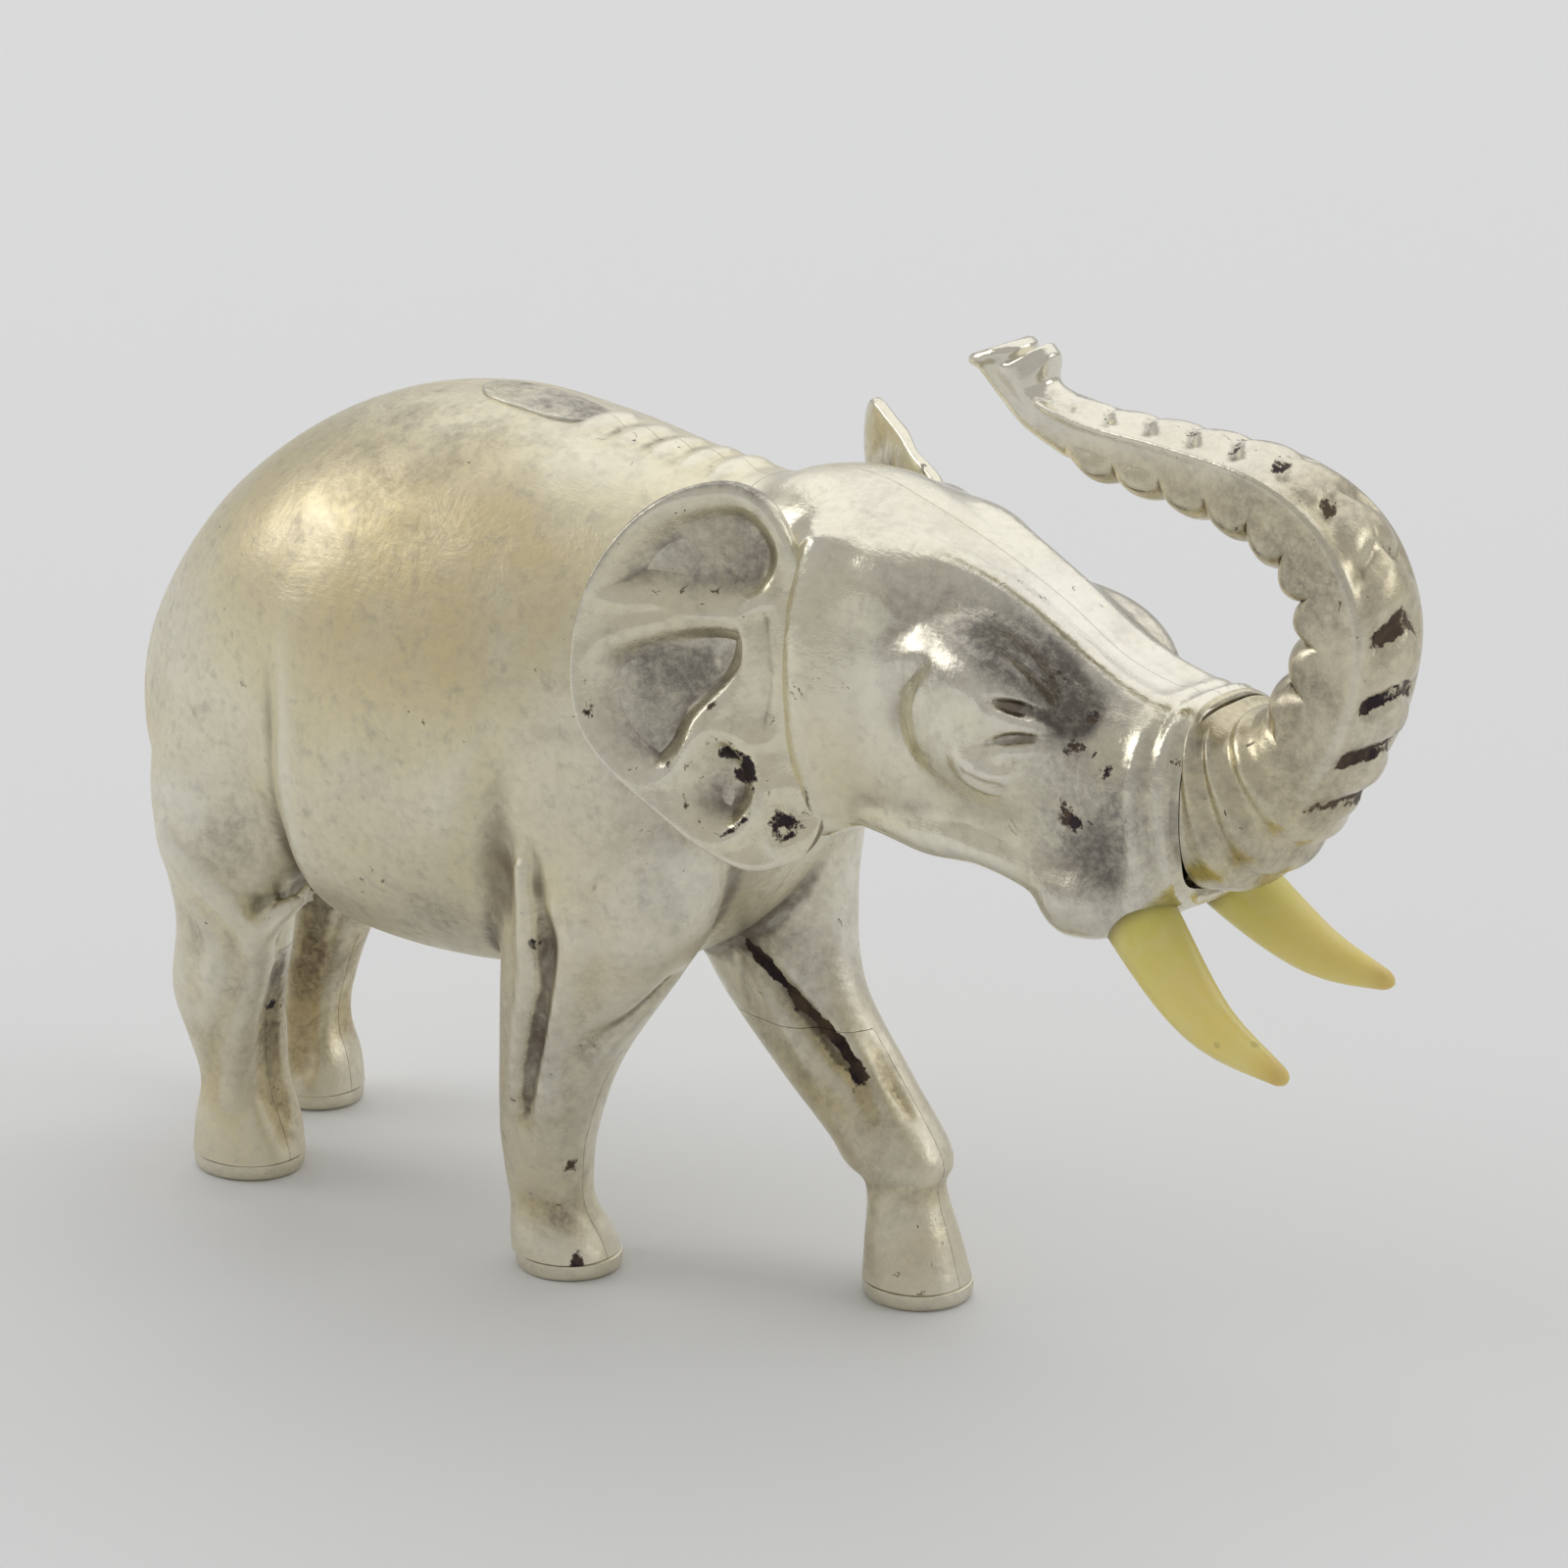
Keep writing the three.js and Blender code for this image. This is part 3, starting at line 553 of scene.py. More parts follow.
def shape_head(clay):
    """Skull and muzzle, the crown's two knobs, brow ridges over hollow temples, bulging eyes
    with their creases, the hollows behind the eyes and under them, jaws and lips, the
    swelling where the ears spring, the collar round the muzzle and its slanting underside."""
    add_head(clay, 1.2)
    for side in SIDES.values():
        clay.lump((32.6, side * 2.9, 31.0), (2.6, 1.7, 1.7), 1.0)
        ridge = [(31.0, 3.2, 31.7), (34.2, 2.3, 31.8), (37.4, 1.7, 30.9), (40.5, 1.5, 29.3),
                 (43.7, 1.7, 28.0), (46.8, 1.5, 27.5)]
        clay.stroke(mirrored(ridge, side), [0.7, 0.8, 0.65, 0.55, 0.5, 0.45], 0.7)
        temple = [(34.8, 5.0, 31.3), (37.8, 4.6, 30.9), (40.6, 4.3, 29.7), (43.0, 4.5, 27.9)]
        clay.stroke(mirrored(temple, side), [0.9, 1.35, 1.5, 0.8], 0.35, carve=True)
        clay.lump((38.0, side * 3.9, 27.2), (3.6, 1.6, 2.8), 1.3, pitch=20)
        clay.lump((38.5, side * 4.3, 28.3), (2.2, 1.1, 1.2), 0.5, pitch=20)
        clay.lump((38.9, side * 4.9, 25.6), (1.3, 0.75, 0.9), 0.4, pitch=20)
        for crease, size in CREASES:
            clay.stroke(mirrored(crease, side), size, 0.12, carve=True)
        rear = [(36.0, 5.4, 29.0), (34.9, 5.6, 27.8), (34.7, 5.5, 26.2), (35.6, 5.5, 24.8),
                (37.4, 5.4, 24.0)]
        clay.stroke(mirrored(rear, side), [0.3, 0.75, 0.8, 0.6, 0.3], 0.5, carve=True)
        jaw = [(33.0, 3.4, 22.0), (35.5, 3.5, 21.9), (38.0, 3.5, 22.0), (40.4, 3.3, 21.4),
               (42.2, 3.1, 20.9)]
        clay.stroke(mirrored(jaw, side), [0.5, 0.8, 0.8, 0.8, 1.2], 0.9)
        lip = [(42.0, 3.0, 20.6), (43.8, 3.1, 21.0), (45.6, 2.5, 22.3)]
        clay.stroke(mirrored(lip, side), [1.4, 1.4, 0.9], 0.8)
        clay.lump((38.6, side * 5.6, 23.0), (2.6, 1.4, 1.3), 0.7, pitch=10, carve=True)
        root = [(30.4, 3.9, 32.0), (30.6, 4.4, 28.5), (30.7, 4.4, 25.0), (30.7, 4.0, 21.8)]
        clay.stroke(mirrored(root, side), [0.6, 1.1, 1.1, 0.8], 1.6)
    v = np.linspace(0, 2 * np.pi, 25)
    bend = lambda c: np.sign(c) * np.abs(c) ** (2 / HEAD["square"])
    for x, swell in ((45.0, -0.08), (45.95, 0.02)):
        side, rise, drop = (curve(HEAD["at"], HEAD[k], x) + swell for k in ("side", "rise", "drop"))
        y = side * bend(np.cos(v))
        z = bend(np.sin(v)) * np.where(np.sin(v) > 0, rise, drop)
        ring = np.stack([0 * v + x - 0.06 * z, y, z + curve(HEAD["at"], HEAD["middle"], x)], 1)
        clay.stroke(ring, 0.22, 0.35)
    part, (x, y, z) = clay.near((39, -8, 15), (50, 8, 26))
    clay.blend(part, (z - 19.15 - 0.5 * (x - 43.0)) * 0.9 + 0 * y, 0.25, carve=True)


def behind_neck(p):
    """Distance behind the seam between body and head, which leans back."""
    ahead, up = NECK["normal"]
    return -((p[:, 0] - NECK["x"]) * ahead + (p[:, 2] - NECK["z"]) * up)


def outside_leg_strips(p, side):
    """Positive outside the strips that close the inside of the legs of one side."""
    word = "right" if side < 0 else "left"
    fore, hind = LEGS["front_" + word], LEGS["hind_" + word]
    middles = [curve(leg["at"], leg["y"], p[:, 2]) for leg in (fore, hind)]
    middle = np.where(p[:, 0] > MIDWAY, *middles)
    return np.maximum(p[:, 2] - INNER_LEG, side * (p[:, 1] - middle))


# ---- Materials ------------------------------------------------------------------------------


class Nodes:
    """A node tree and short ways to add to it."""

    def __init__(self, tree):
        self.tree = tree

    def add(self, kind, inputs=None, **settings):
        node = self.tree.nodes.new(kind)
        for key, value in settings.items():
            setattr(node, key, value)
        for key, value in (inputs or {}).items():
            self.put(node.inputs[key], value)
        return node

    def put(self, socket, value):
        if isinstance(value, bpy.types.NodeSocket):
            self.tree.links.new(value, socket)
        else:
            socket.default_value = value

    def noise(self, place, scale, detail=4.0, rough=0.55, distortion=0.0):
        inputs = {"Vector": place, "Scale": scale, "Detail": detail}
        inputs |= {"Roughness": rough, "Distortion": distortion}
        return self.add("ShaderNodeTexNoise", inputs).outputs["Fac"]

    def ramp(self, value, start, end, low=0.0, high=1.0):
        return self.add(
            "ShaderNodeMapRange",
            {"Value": value, "From Min": start, "From Max": end, "To Min": low, "To Max": high},
            interpolation_type="SMOOTHSTEP",
        ).outputs["Result"]

    def sum(self, operation, a, b=0.0, clamp=False):
        return self.add(
            "ShaderNodeMath", {0: a, 1: b}, operation=operation, use_clamp=clamp
        ).outputs["Value"]

    def mix(self, share, a, b, mode="MIX"):
        node = self.add("ShaderNodeMix", data_type="RGBA", blend_type=mode)
        self.put(node.inputs[0], share)
        self.put(node.inputs[6], a)
        self.put(node.inputs[7], b)
        return node.outputs[2]


def group(name, inputs, outputs):
    """An empty node group with named inputs and outputs."""
    tree = bpy.data.node_groups.new(name, "ShaderNodeTree")
    for key, kind in inputs.items():
        tree.interface.new_socket(key, in_out="INPUT", socket_type=kind)
    for key, kind in outputs.items():
        tree.interface.new_socket(key, in_out="OUTPUT", socket_type=kind)
    n = Nodes(tree)
    return tree, n, n.add("NodeGroupInput").outputs, n.add("NodeGroupOutput").inputs


FLOAT, COLOUR, VECTOR = "NodeSocketFloat", "NodeSocketColor", "NodeSocketVector"


def old_silver():
    """Silver that has tarnished. Toned makes it yellow, Grey makes it dull and dark, and Soot
    makes it black, as grooves do. Ridges and what is Worn stay bright, and Polish makes it
    smoother. Grain, freckles, speckle and specks are mottling of several sizes and shades. The
    height has fine grain, scratches and a broader unevenness, and is lower where it is black."""
    floats = ("Groove", "Soot", "Toned", "Grey", "Worn", "Polish")
    tree, n, given, result = group(
        "old silver",
        {"Place": VECTOR, **{key: FLOAT for key in floats}},
        {"Color": COLOUR, "Roughness": FLOAT, "Height": FLOAT},
    )
    place = given["Place"]
    broad = n.noise(place, 110.0, 3.0)
    mottle = n.noise(place, 420.0, 7.0, 0.66, 0.5)
    grain = n.noise(place, 2600.0, 4.0, 0.6)
    silver = n.mix(n.ramp(broad, 0.35, 0.68), (0.90, 0.86, 0.70, 1), (0.83, 0.78, 0.58, 1))
    toned = n.sum("MULTIPLY", given["Toned"], n.ramp(broad, 0.32, 0.6, 0.3, 1.0), True)
    colour = n.mix(n.sum("MULTIPLY", toned, 0.85), silver, (0.74, 0.62, 0.34, 1))
    freckle = n.noise(place, 1300.0, 5.0, 0.7, 0.3)
    colour = n.mix(n.ramp(freckle, 0.52, 0.72, 0.0, 0.4), colour, (0.42, 0.39, 0.33, 1))
    colour = n.mix(n.ramp(grain, 0.4, 0.65, 0.0, 0.22), colour, (0.60, 0.55, 0.42, 1))
    worn = n.sum("MAXIMUM", given["Worn"], n.ramp(given["Groove"], -0.015, -0.1, 0.0, 0.45))
    colour = n.mix(n.sum("MULTIPLY", worn, 0.75), colour, (0.86, 0.85, 0.78, 1))
    greyed = n.sum("ADD", given["Grey"], n.ramp(broad, 0.62, 0.3, 0.05, 0.3))
    greyed = n.sum("MULTIPLY", greyed, n.sum("SUBTRACT", 1.0, n.sum("MULTIPLY", worn, 0.7)))
    speckle = n.noise(place, 2500.0, 6.0, 0.8)
    dull = n.sum("MULTIPLY", n.ramp(mottle, 0.36, 0.66, 0.45, 1.0), greyed, True)
    dull = n.sum("MULTIPLY", dull, n.ramp(speckle, 0.35, 0.65, 0.5, 1.0))
    tarnish = n.mix(given["Toned"], (0.28, 0.26, 0.235, 1), (0.22, 0.17, 0.12, 1))
    colour = n.mix(dull, colour, tarnish)
    deep = n.sum("MULTIPLY", n.ramp(greyed, 0.9, 1.6), n.ramp(speckle, 0.3, 0.6, 0.6, 0.9))
    tarnish = n.mix(given["Toned"], (0.11, 0.10, 0.09, 1), (0.12, 0.09, 0.06, 1))
    colour = n.mix(deep, colour, tarnish)
    ragged = n.ramp(n.noise(place, 900.0, 5.0, 0.7), 0.3, 0.7, -0.5, 0.4)
    soot = n.ramp(n.sum("ADD", given["Soot"], ragged), 0.42, 0.62)
    groove = n.ramp(given["Groove"], 0.015, 0.12)
    groove = n.sum("MULTIPLY", groove, n.ramp(mottle, 0.3, 0.6, 0.4, 1.0))
    specks = n.ramp(n.noise(place, 1500.0, 3.0, 0.7, 0.6), 0.66, 0.72)
    few = n.ramp(n.noise(place, 230.0, 2.0), 0.5, 0.64)
    dark = n.sum("MAXIMUM", n.sum("MULTIPLY", groove, 0.75), soot)
    dark = n.sum("MAXIMUM", dark, n.sum("MULTIPLY", n.sum("MULTIPLY", specks, few), 0.8))
    brown = n.mix(n.ramp(mottle, 0.4, 0.62), (0.045, 0.035, 0.04, 1), (0.16, 0.115, 0.08, 1))
    n.put(result["Color"], n.mix(dark, colour, brown))
    rough = n.ramp(mottle, 0.3, 0.75, 0.34, 0.5)
    rough = n.sum("SUBTRACT", rough, n.sum("MULTIPLY", worn, 0.12))
    rough = n.sum("SUBTRACT", rough, n.sum("MULTIPLY", given["Polish"], 0.22))
    rough = n.sum("ADD", rough, n.sum("MULTIPLY", dull, 0.1))
    n.put(result["Roughness"], n.sum("ADD", rough, n.sum("MULTIPLY", dark, 0.25), True))
    turned = {"Vector": place, "Rotation": (0.3, 0.5, 0.4), "Scale": (1, 14, 9)}
    stretched = n.add("ShaderNodeMapping", turned).outputs["Vector"]
    scratch = n.noise(stretched, 700.0, 2.0)
    height = n.sum("ADD", n.sum("MULTIPLY", grain, 0.3), n.sum("MULTIPLY", scratch, 0.2))
    height = n.sum("ADD", height, n.sum("MULTIPLY", mottle, 1.6))
    n.put(result["Height"], n.sum("SUBTRACT", height, n.sum("MULTIPLY", dark, 0.8)))
    return tree


def finish(name, tree, masks, bump, constants):
    """A Principled material fed by a group, which reads object coordinates and masks. bump is
    the height of its relief in metres."""
    material = bpy.data.materials.new(name)
    material.use_nodes = True
    material.node_tree.nodes.clear()
    n = Nodes(material.node_tree)
    place = n.add("ShaderNodeTexCoord").outputs["Object"]
    made = n.add("ShaderNodeGroup", node_tree=tree)
    n.put(made.inputs["Place"], place)
    for socket, value in masks.items():
        if isinstance(value, str):
            value = n.add("ShaderNodeAttribute", attribute_name=value).outputs["Fac"]
        n.put(made.inputs[socket], value)
    relief = {"Strength": 1.0, "Distance": bump, "Height": made.outputs["Height"]}
    raised = n.add("ShaderNodeBump", relief)
    shader = n.add("ShaderNodeBsdfPrincipled", constants)
    n.put(shader.inputs["Base Color"], made.outputs["Color"])
    n.put(shader.inputs["Roughness"], made.outputs["Roughness"])
    n.put(shader.inputs["Normal"], raised.outputs["Normal"])
    n.put(n.add("ShaderNodeOutputMaterial").inputs["Surface"], shader.outputs["BSDF"])
    return material


def tusk_resin():
    """Yellow resin, greener at the root and amber towards the tip, with faint veins."""
    tree, n, given, result = group(
        "tusk resin",
        {"Place": VECTOR, "Along": FLOAT, "Groove": FLOAT},
        {"Color": COLOUR, "Roughness": FLOAT, "Height": FLOAT},
    )
    place = given["Place"]
    veins = n.noise(place, 420.0, 4.0, 0.6, 1.2)
    fine = n.noise(place, 3000.0, 3.0)
    colour = n.mix(n.ramp(given["Along"], 0.0, 0.5), (0.66, 0.60, 0.14, 1), (0.80, 0.68, 0.20, 1))
    colour = n.mix(n.ramp(given["Along"], 0.8, 1.0), colour, (0.66, 0.48, 0.13, 1))
    colour = n.mix(n.ramp(veins, 0.4, 0.75, 0.0, 0.5), colour, (0.80, 0.70, 0.34, 1))
    colour = n.mix(n.ramp(given["Groove"], 0.0, 1.0, 0.0, 0.7), colour, (0.16, 0.10, 0.03, 1))
    specks = n.add("ShaderNodeTexVoronoi", {"Vector": place, "Scale": 700.0, "Randomness": 1.0})
    few = n.ramp(n.noise(place, 300.0, 2.0), 0.62, 0.7)
    speck = n.sum("MULTIPLY", n.ramp(specks.outputs["Distance"], 0.16, 0.08), few)
    n.put(result["Color"], n.mix(n.sum("MULTIPLY", speck, 0.7), colour, (0.12, 0.08, 0.04, 1)))
    n.put(result["Roughness"], n.ramp(fine, 0.3, 0.7, 0.28, 0.42))
    n.put(result["Height"], n.sum("ADD", n.sum("MULTIPLY", fine, 0.5), veins))
    return tree


silver_group = old_silver()
METAL = {"Metallic": 1.0}
SKIN_MASKS = {key.title(): key for key in ("groove", "soot", "toned", "grey", "worn", "polish")}
SILVER_RELIEF = 0.00004
RESIN_RELIEF = 0.00002
struck = finish("struck silver", silver_group, SKIN_MASKS, SILVER_RELIEF, METAL)
cast = finish("cast silver", silver_group, SKIN_MASKS, SILVER_RELIEF, METAL)
resin = finish(
    "tusk resin", tusk_resin(), {"Along": "along", "Groove": "groove"}, RESIN_RELIEF,
    {"Subsurface Weight": 0.35, "Subsurface Radius": (0.0012, 0.0008, 0.0003),
     "Subsurface Scale": 1.0, "Coat Weight": 0.25, "Coat Roughness": 0.2},
)

# ---- Body and head shells -------------------------------------------------------------------


def blot(p, spots):
    """Sum of soft balls, each with its middle, radius and amount."""
    total = np.zeros(len(p))
    for x, y, z, radius, amount in spots:
        total += amount * np.exp(-(((p - (x, y, z)) ** 2).sum(1)) / radius**2)
    return total


# Spots of the masks: middle, radius and amount. Above the legs they are the right side's
SOOT = [
    (42.4, -4.2, 26.7, 0.45, 0.75), (43.2, -4.2, 26.5, 0.45, 0.8), (43.9, -4.1, 26.2, 0.4, 0.6),
    (42.3, -4.4, 24.4, 0.5, 0.75), (42.6, -4.4, 23.8, 0.4, 0.6), (46.3, -3.0, 26.8, 0.5, 0.5),
    (41.4, -3.1, 29.0, 0.9, 0.5), (42.6, -3.3, 27.9, 0.5, 0.55),
    (19.5, -7.3, 15.3, 0.6, 0.5), (20.9, -6.2, 11.0, 0.6, 0.5), (18.6, -4.6, 4.8, 0.4, 0.6),
    (1.6, -3.9, 7.6, 0.7, 0.7), (19.2, -5.2, 0.9, 0.5, 0.6),
]
# Down the far foreleg, black
SLIT = [(22.4, 1.8, 13.2), (24.0, 2.05, 11.8), (25.4, 2.25, 10.6), (26.6, 2.35, 9.6), (27.6, 2.3, 8.7)]
TONED = [
    (13, -8, 28, 6.5, 1.0), (18, -7, 29, 4.5, 0.8), (4, -7, 30, 5, 0.6), (-4, -5, 19, 3.0, 0.8),
    (4, -8, 14, 4, 0.3),
    (17, -6, 4, 4.5, 1.0), (21, -7, 14, 4, 0.7), (30, 2, 3, 4.5, 1.0), (0, -5, 3, 4.5, 1.0),
    (-4, 3, 3, 4, 0.5), (27, 2, 8, 4, 0.7),
    (13, -9, 18, 5, 0.3), (32, -5, 25, 3, 0.4), (-2, 3, 6, 5, 0.9), (2.4, -3.4, 6, 2.6, 1.0),
]
GREY = [
    (34.5, -4.2, 30.0, 2.0, 0.5), (37.5, -4, 30.0, 2.4, 0.7), (39.0, -3.4, 30.2, 1.6, 1.3),
    (40.6, -3.4, 29.3, 1.5, 2.4), (42.0, -3.5, 28.2, 1.2, 2.2), (43.5, -4, 25, 3.2, 0.8),
    (44.5, -4, 22, 2.6, 0.5), (42.5, -4, 22, 2.5, 0.4), (33, -1, 33.3, 3, 0.35),
    (37, -1, 31.5, 3, 0.35), (46.5, -3, 26, 2.0, 0.4), (17.0, -7, 9, 5, 0.4),
    (25, -4, 20, 4, 0.5), (29, 3, 4, 5, 0.35), (24.5, 1.8, 11.5, 3.4, 0.6), (28, 1.5, 8, 2.4, 0.5),
    (0, -4, 8, 5, 0.3),
    (2.6, -3.6, 9.0, 1.9, 1.0), (2.2, -3.5, 5.8, 2.0, 1.1), (2.2, -3.4, 3.0, 1.6, 0.8),
    # The last spot on the next line, on top of the back, is painted shade: it dulls the highlight that the
    # overhead light makes there.
    (-1.5, 3.0, 10, 4.0, 1.0), (-2.6, 2.4, 5.0, 3.6, 0.8), (10, -4, 33, 6, 0.6),
    (39.5, -5.2, 27, 1.8, -0.4),
    (6, -4, 13, 3, 0.5), (14, -8, 15, 2.2, 0.4), (3, -7.5, 15.2, 1.6, 0.6), (0.3, -6.8, 11, 1.4, 0.5),
    (18.2, -5, 2.6, 1.2, 0.7),
    (19.6, -7.2, 15, 1.2, 0.7), (18.8, -7, 17.8, 1.2, 0.4), (19.2, -6.5, 11, 1.4, 0.4),
]
WORN = [(31, -1.5, 33.5, 2.5, 0.4), (35, -1.0, 32.5, 2.6, 0.6), (39, -0.5, 30.8, 2.4, 0.9),
        (43, -0.5, 29, 2.2, 0.8),
        (46, -0.5, 28.3, 1.5, 0.6), (33.3, -4.8, 27.5, 2.4, 0.5), (26, -1, 34, 2, 0.5),
        (19, -3, 33, 3, 0.3)]


def beside(p, path):
    """Distance of each point to a smooth curve through the points of a path."""
    near = np.full(len(p), 9.0)
    for q in line_through(path, 40):
        near = np.minimum(near, np.linalg.norm(p - q, axis=1))
    return near


ABOVE_LEGS = 16  # height from which both sides have the same spots


def skin_masks(points, groove):
    """Masks of body and head. Above the legs the spots of the right side are repeated on the
    left, where the grey is weaker. The head is polished, less so along its middle."""
    upper = points[:, 2] > ABOVE_LEGS
    place = points.copy()
    place[upper, 1] = -np.abs(points[upper, 1])
    far = upper & (points[:, 1] > 0)
    head = step(points[:, 0], 24, 30) * step(points[:, 2], 15, 20)
    return {
        "groove": groove,
        "soot": blot(place, SOOT) + 1.4 * hill(beside(points, SLIT), 0, 0.3),
        "toned": np.clip(blot(place, TONED), 0, 1),
        "grey": np.clip(blot(place, GREY), 0, 1.6) * np.where(far, 0.4, 1.0),
        "worn": np.clip(blot(place, WORN), 0, 1),
        "polish": head * (0.4 + 0.6 * step(place[:, 1], -1.0, -2.6)),
    }


def even(points, **amounts):
    """Masks that are the same all over a piece."""
    return {key: np.full(len(points), float(amount)) for key, amount in amounts.items()}


def shell_pieces(points, faces, cuts, name):
    """Clips the skin by each cut in turn and makes what is left into a piece of sheet. The
    points carry a fourth value, how far they lie in a groove of the whole skin."""
    for cut in cuts:
        points, faces = clip(points, faces, cut(points))
    points, faces = main_part(points, faces)
    groove = np.tile(points[:, 3], 2)
    points, faces = sheet(points[:, :3], faces, WALL)
    make(name + "_silver", points, faces, struck, name, skin_masks(points, groove))


def smooth_skin(clay):
    """Points and triangles of the skin. How far a point lies in a groove is its fourth value."""
    points, faces = skin(clay)
    points = relax(points, faces, SMOOTHING)
    faces = triangles(faces)
    return np.column_stack([points, hollowness(points, faces, GROOVE_ROUNDS)]), faces


body = Clay((-8, -11.5, -1), (33.5, 11.5, 36), COARSE)
shape_body(body)
add_head(body, 1.2)
body_points, body_faces = smooth_skin(body)

head = Clay((22, -8, 17), (48.6, 8, 36), FINE)
add_torso(head)
shape_head(head)
head_points, head_faces = smooth_skin(head)

for word, side in SIDES.items():
    own_half = lambda p: side * p[:, 1] - SEAM / 2
    above_sole = lambda p: p[:, 2] - SOLE - SEAM
    in_body = lambda p: behind_neck(p) - SEAM / 2
    off_strips = lambda p: outside_leg_strips(p, side) - SEAM / 2
    cuts = [in_body, own_half, above_sole, off_strips]
    shell_pieces(body_points, body_faces, cuts, "body_shell_" + word)
    in_head = lambda p: -behind_neck(p) - SEAM / 2
    before_muzzle = lambda p: MUZZLE - p[:, 0]
    cuts = [in_head, own_half, before_muzzle]
    shell_pieces(head_points, head_faces, cuts, "head_shell_" + word)
    in_strips = lambda p: -outside_leg_strips(p, side) - SEAM / 2
    for end, sign in (("front", 1), ("hind", -1)):
        own_leg = lambda p: sign * (p[:, 0] - MIDWAY)
        cuts = [above_sole, own_half, in_strips, own_leg]
        shell_pieces(body_points, body_faces, cuts, f"inner_leg_{end}_{word}")

# ---- Surfaces of two parameters -------------------------------------------------------------


def turn(count):
    """Angles once round."""
    return np.linspace(0, 2 * np.pi, count, endpoint=False)


def grid_faces(rows, columns, closed=True):
    """Quads of a grid of vertices, row after row, wrapped round in columns if closed."""
    i, j = np.meshgrid(np.arange(rows - 1), np.arange(columns - (not closed)), indexing="ij")
    a = (i * columns + j).ravel()
    b = (i * columns + (j + 1) % columns).ravel()
    return np.array([a, b, b + columns, a + columns]).T


def capped(grid):
    """A closed mesh of a grid of rings: each end ring is drawn in to its middle."""
    rows, columns, _ = grid.shape
    first, last = grid[0].mean(0), grid[-1].mean(0)
    points = np.concatenate([grid.reshape(-1, 3), [first, last]])
    quads = grid_faces(rows, columns)
    around = np.arange(columns)
    after = (around + 1) % columns
    base = (rows - 1) * columns
    n = rows * columns
    faces = np.concatenate([
        triangles(quads),
        np.array([after, around, np.full(columns, n)]).T,
        np.array([base + around, base + after, np.full(columns, n + 1)]).T,
    ])
    a, b, c = (points[faces[:, i]] for i in range(3))
    if (a * np.cross(b, c)).sum() < 0:
        faces = faces[:, ::-1]
    return points, faces


def unit(vectors):
    """The vectors at length 1."""
    return vectors / np.linalg.norm(vectors, axis=1)[:, None]


def upright(x, z):
    """A path in the middle plane."""
    return np.stack([x, np.zeros(len(x)), z], 1)


def rings(path, ahead, radius, v):
    """Rings square to a path in the middle plane. The angle v counts from the side that lies
    on top where the path runs forward."""
    inward = upright(-ahead[:, 2], ahead[:, 0])
    across = np.cos(v)[..., None] * inward[:, None, :] + np.sin(v)[..., None] * np.array([0, 1, 0])
    return path[:, None, :] + radius[..., None] * across


TRUNK = {
    "x": [46.64, 48.5, 50.5, 51.8, 52.1, 50.9, 48.4, 44.5, 40.5, 38.1, 36.8, 35.7],
    "z": [25.0, 25.7, 27.4, 29.9, 32.5, 34.9, 36.4, 37.0, 37.3, 37.9, 38.8, 40.1],
    "radius": [3.5, 2.95, 2.45, 2.2, 2.1, 2.05, 1.85, 1.5, 1.25, 1.08, 1.0, 1.15],
}
SCOOPS = 12  # hollows across the outer side of the trunk
KNUCKLES = 9  # along its inner side
# Rings past either end of the trunk: share of the end ring's size, and how far on
SPIGOT = [(0.5, -0.8), (0.75, -0.75), (0.78, -0.4), (0.8, 0.0), (0.97, 0.0)]
NOSTRIL = [(0.94, 0.16), (0.84, 0.2), (0.74, 0.14), (0.66, -0.08), (0.58, -0.4), (0.42, -0.62),
           (0.22, -0.7)]


def end_rings(ring, middle, ahead, profile):
    """Rings like the given one, drawn in to a share of its size and moved along."""
    return np.array([middle + share * (ring - middle) + far * ahead for share, far in profile])


def muzzle_reach(v):
    """From the middle of the head's section at the muzzle to its outline."""
    rise, drop, width = (curve(HEAD["at"], HEAD[k], MUZZLE) for k in ("rise", "drop", "side"))
    height = np.where(np.cos(v) > 0, rise, drop)
    power = HEAD["square"]
    sum_of_powers = np.abs(np.sin(v) / width) ** power + np.abs(np.cos(v) / height) ** power
    return sum_of_powers ** (-1 / power)


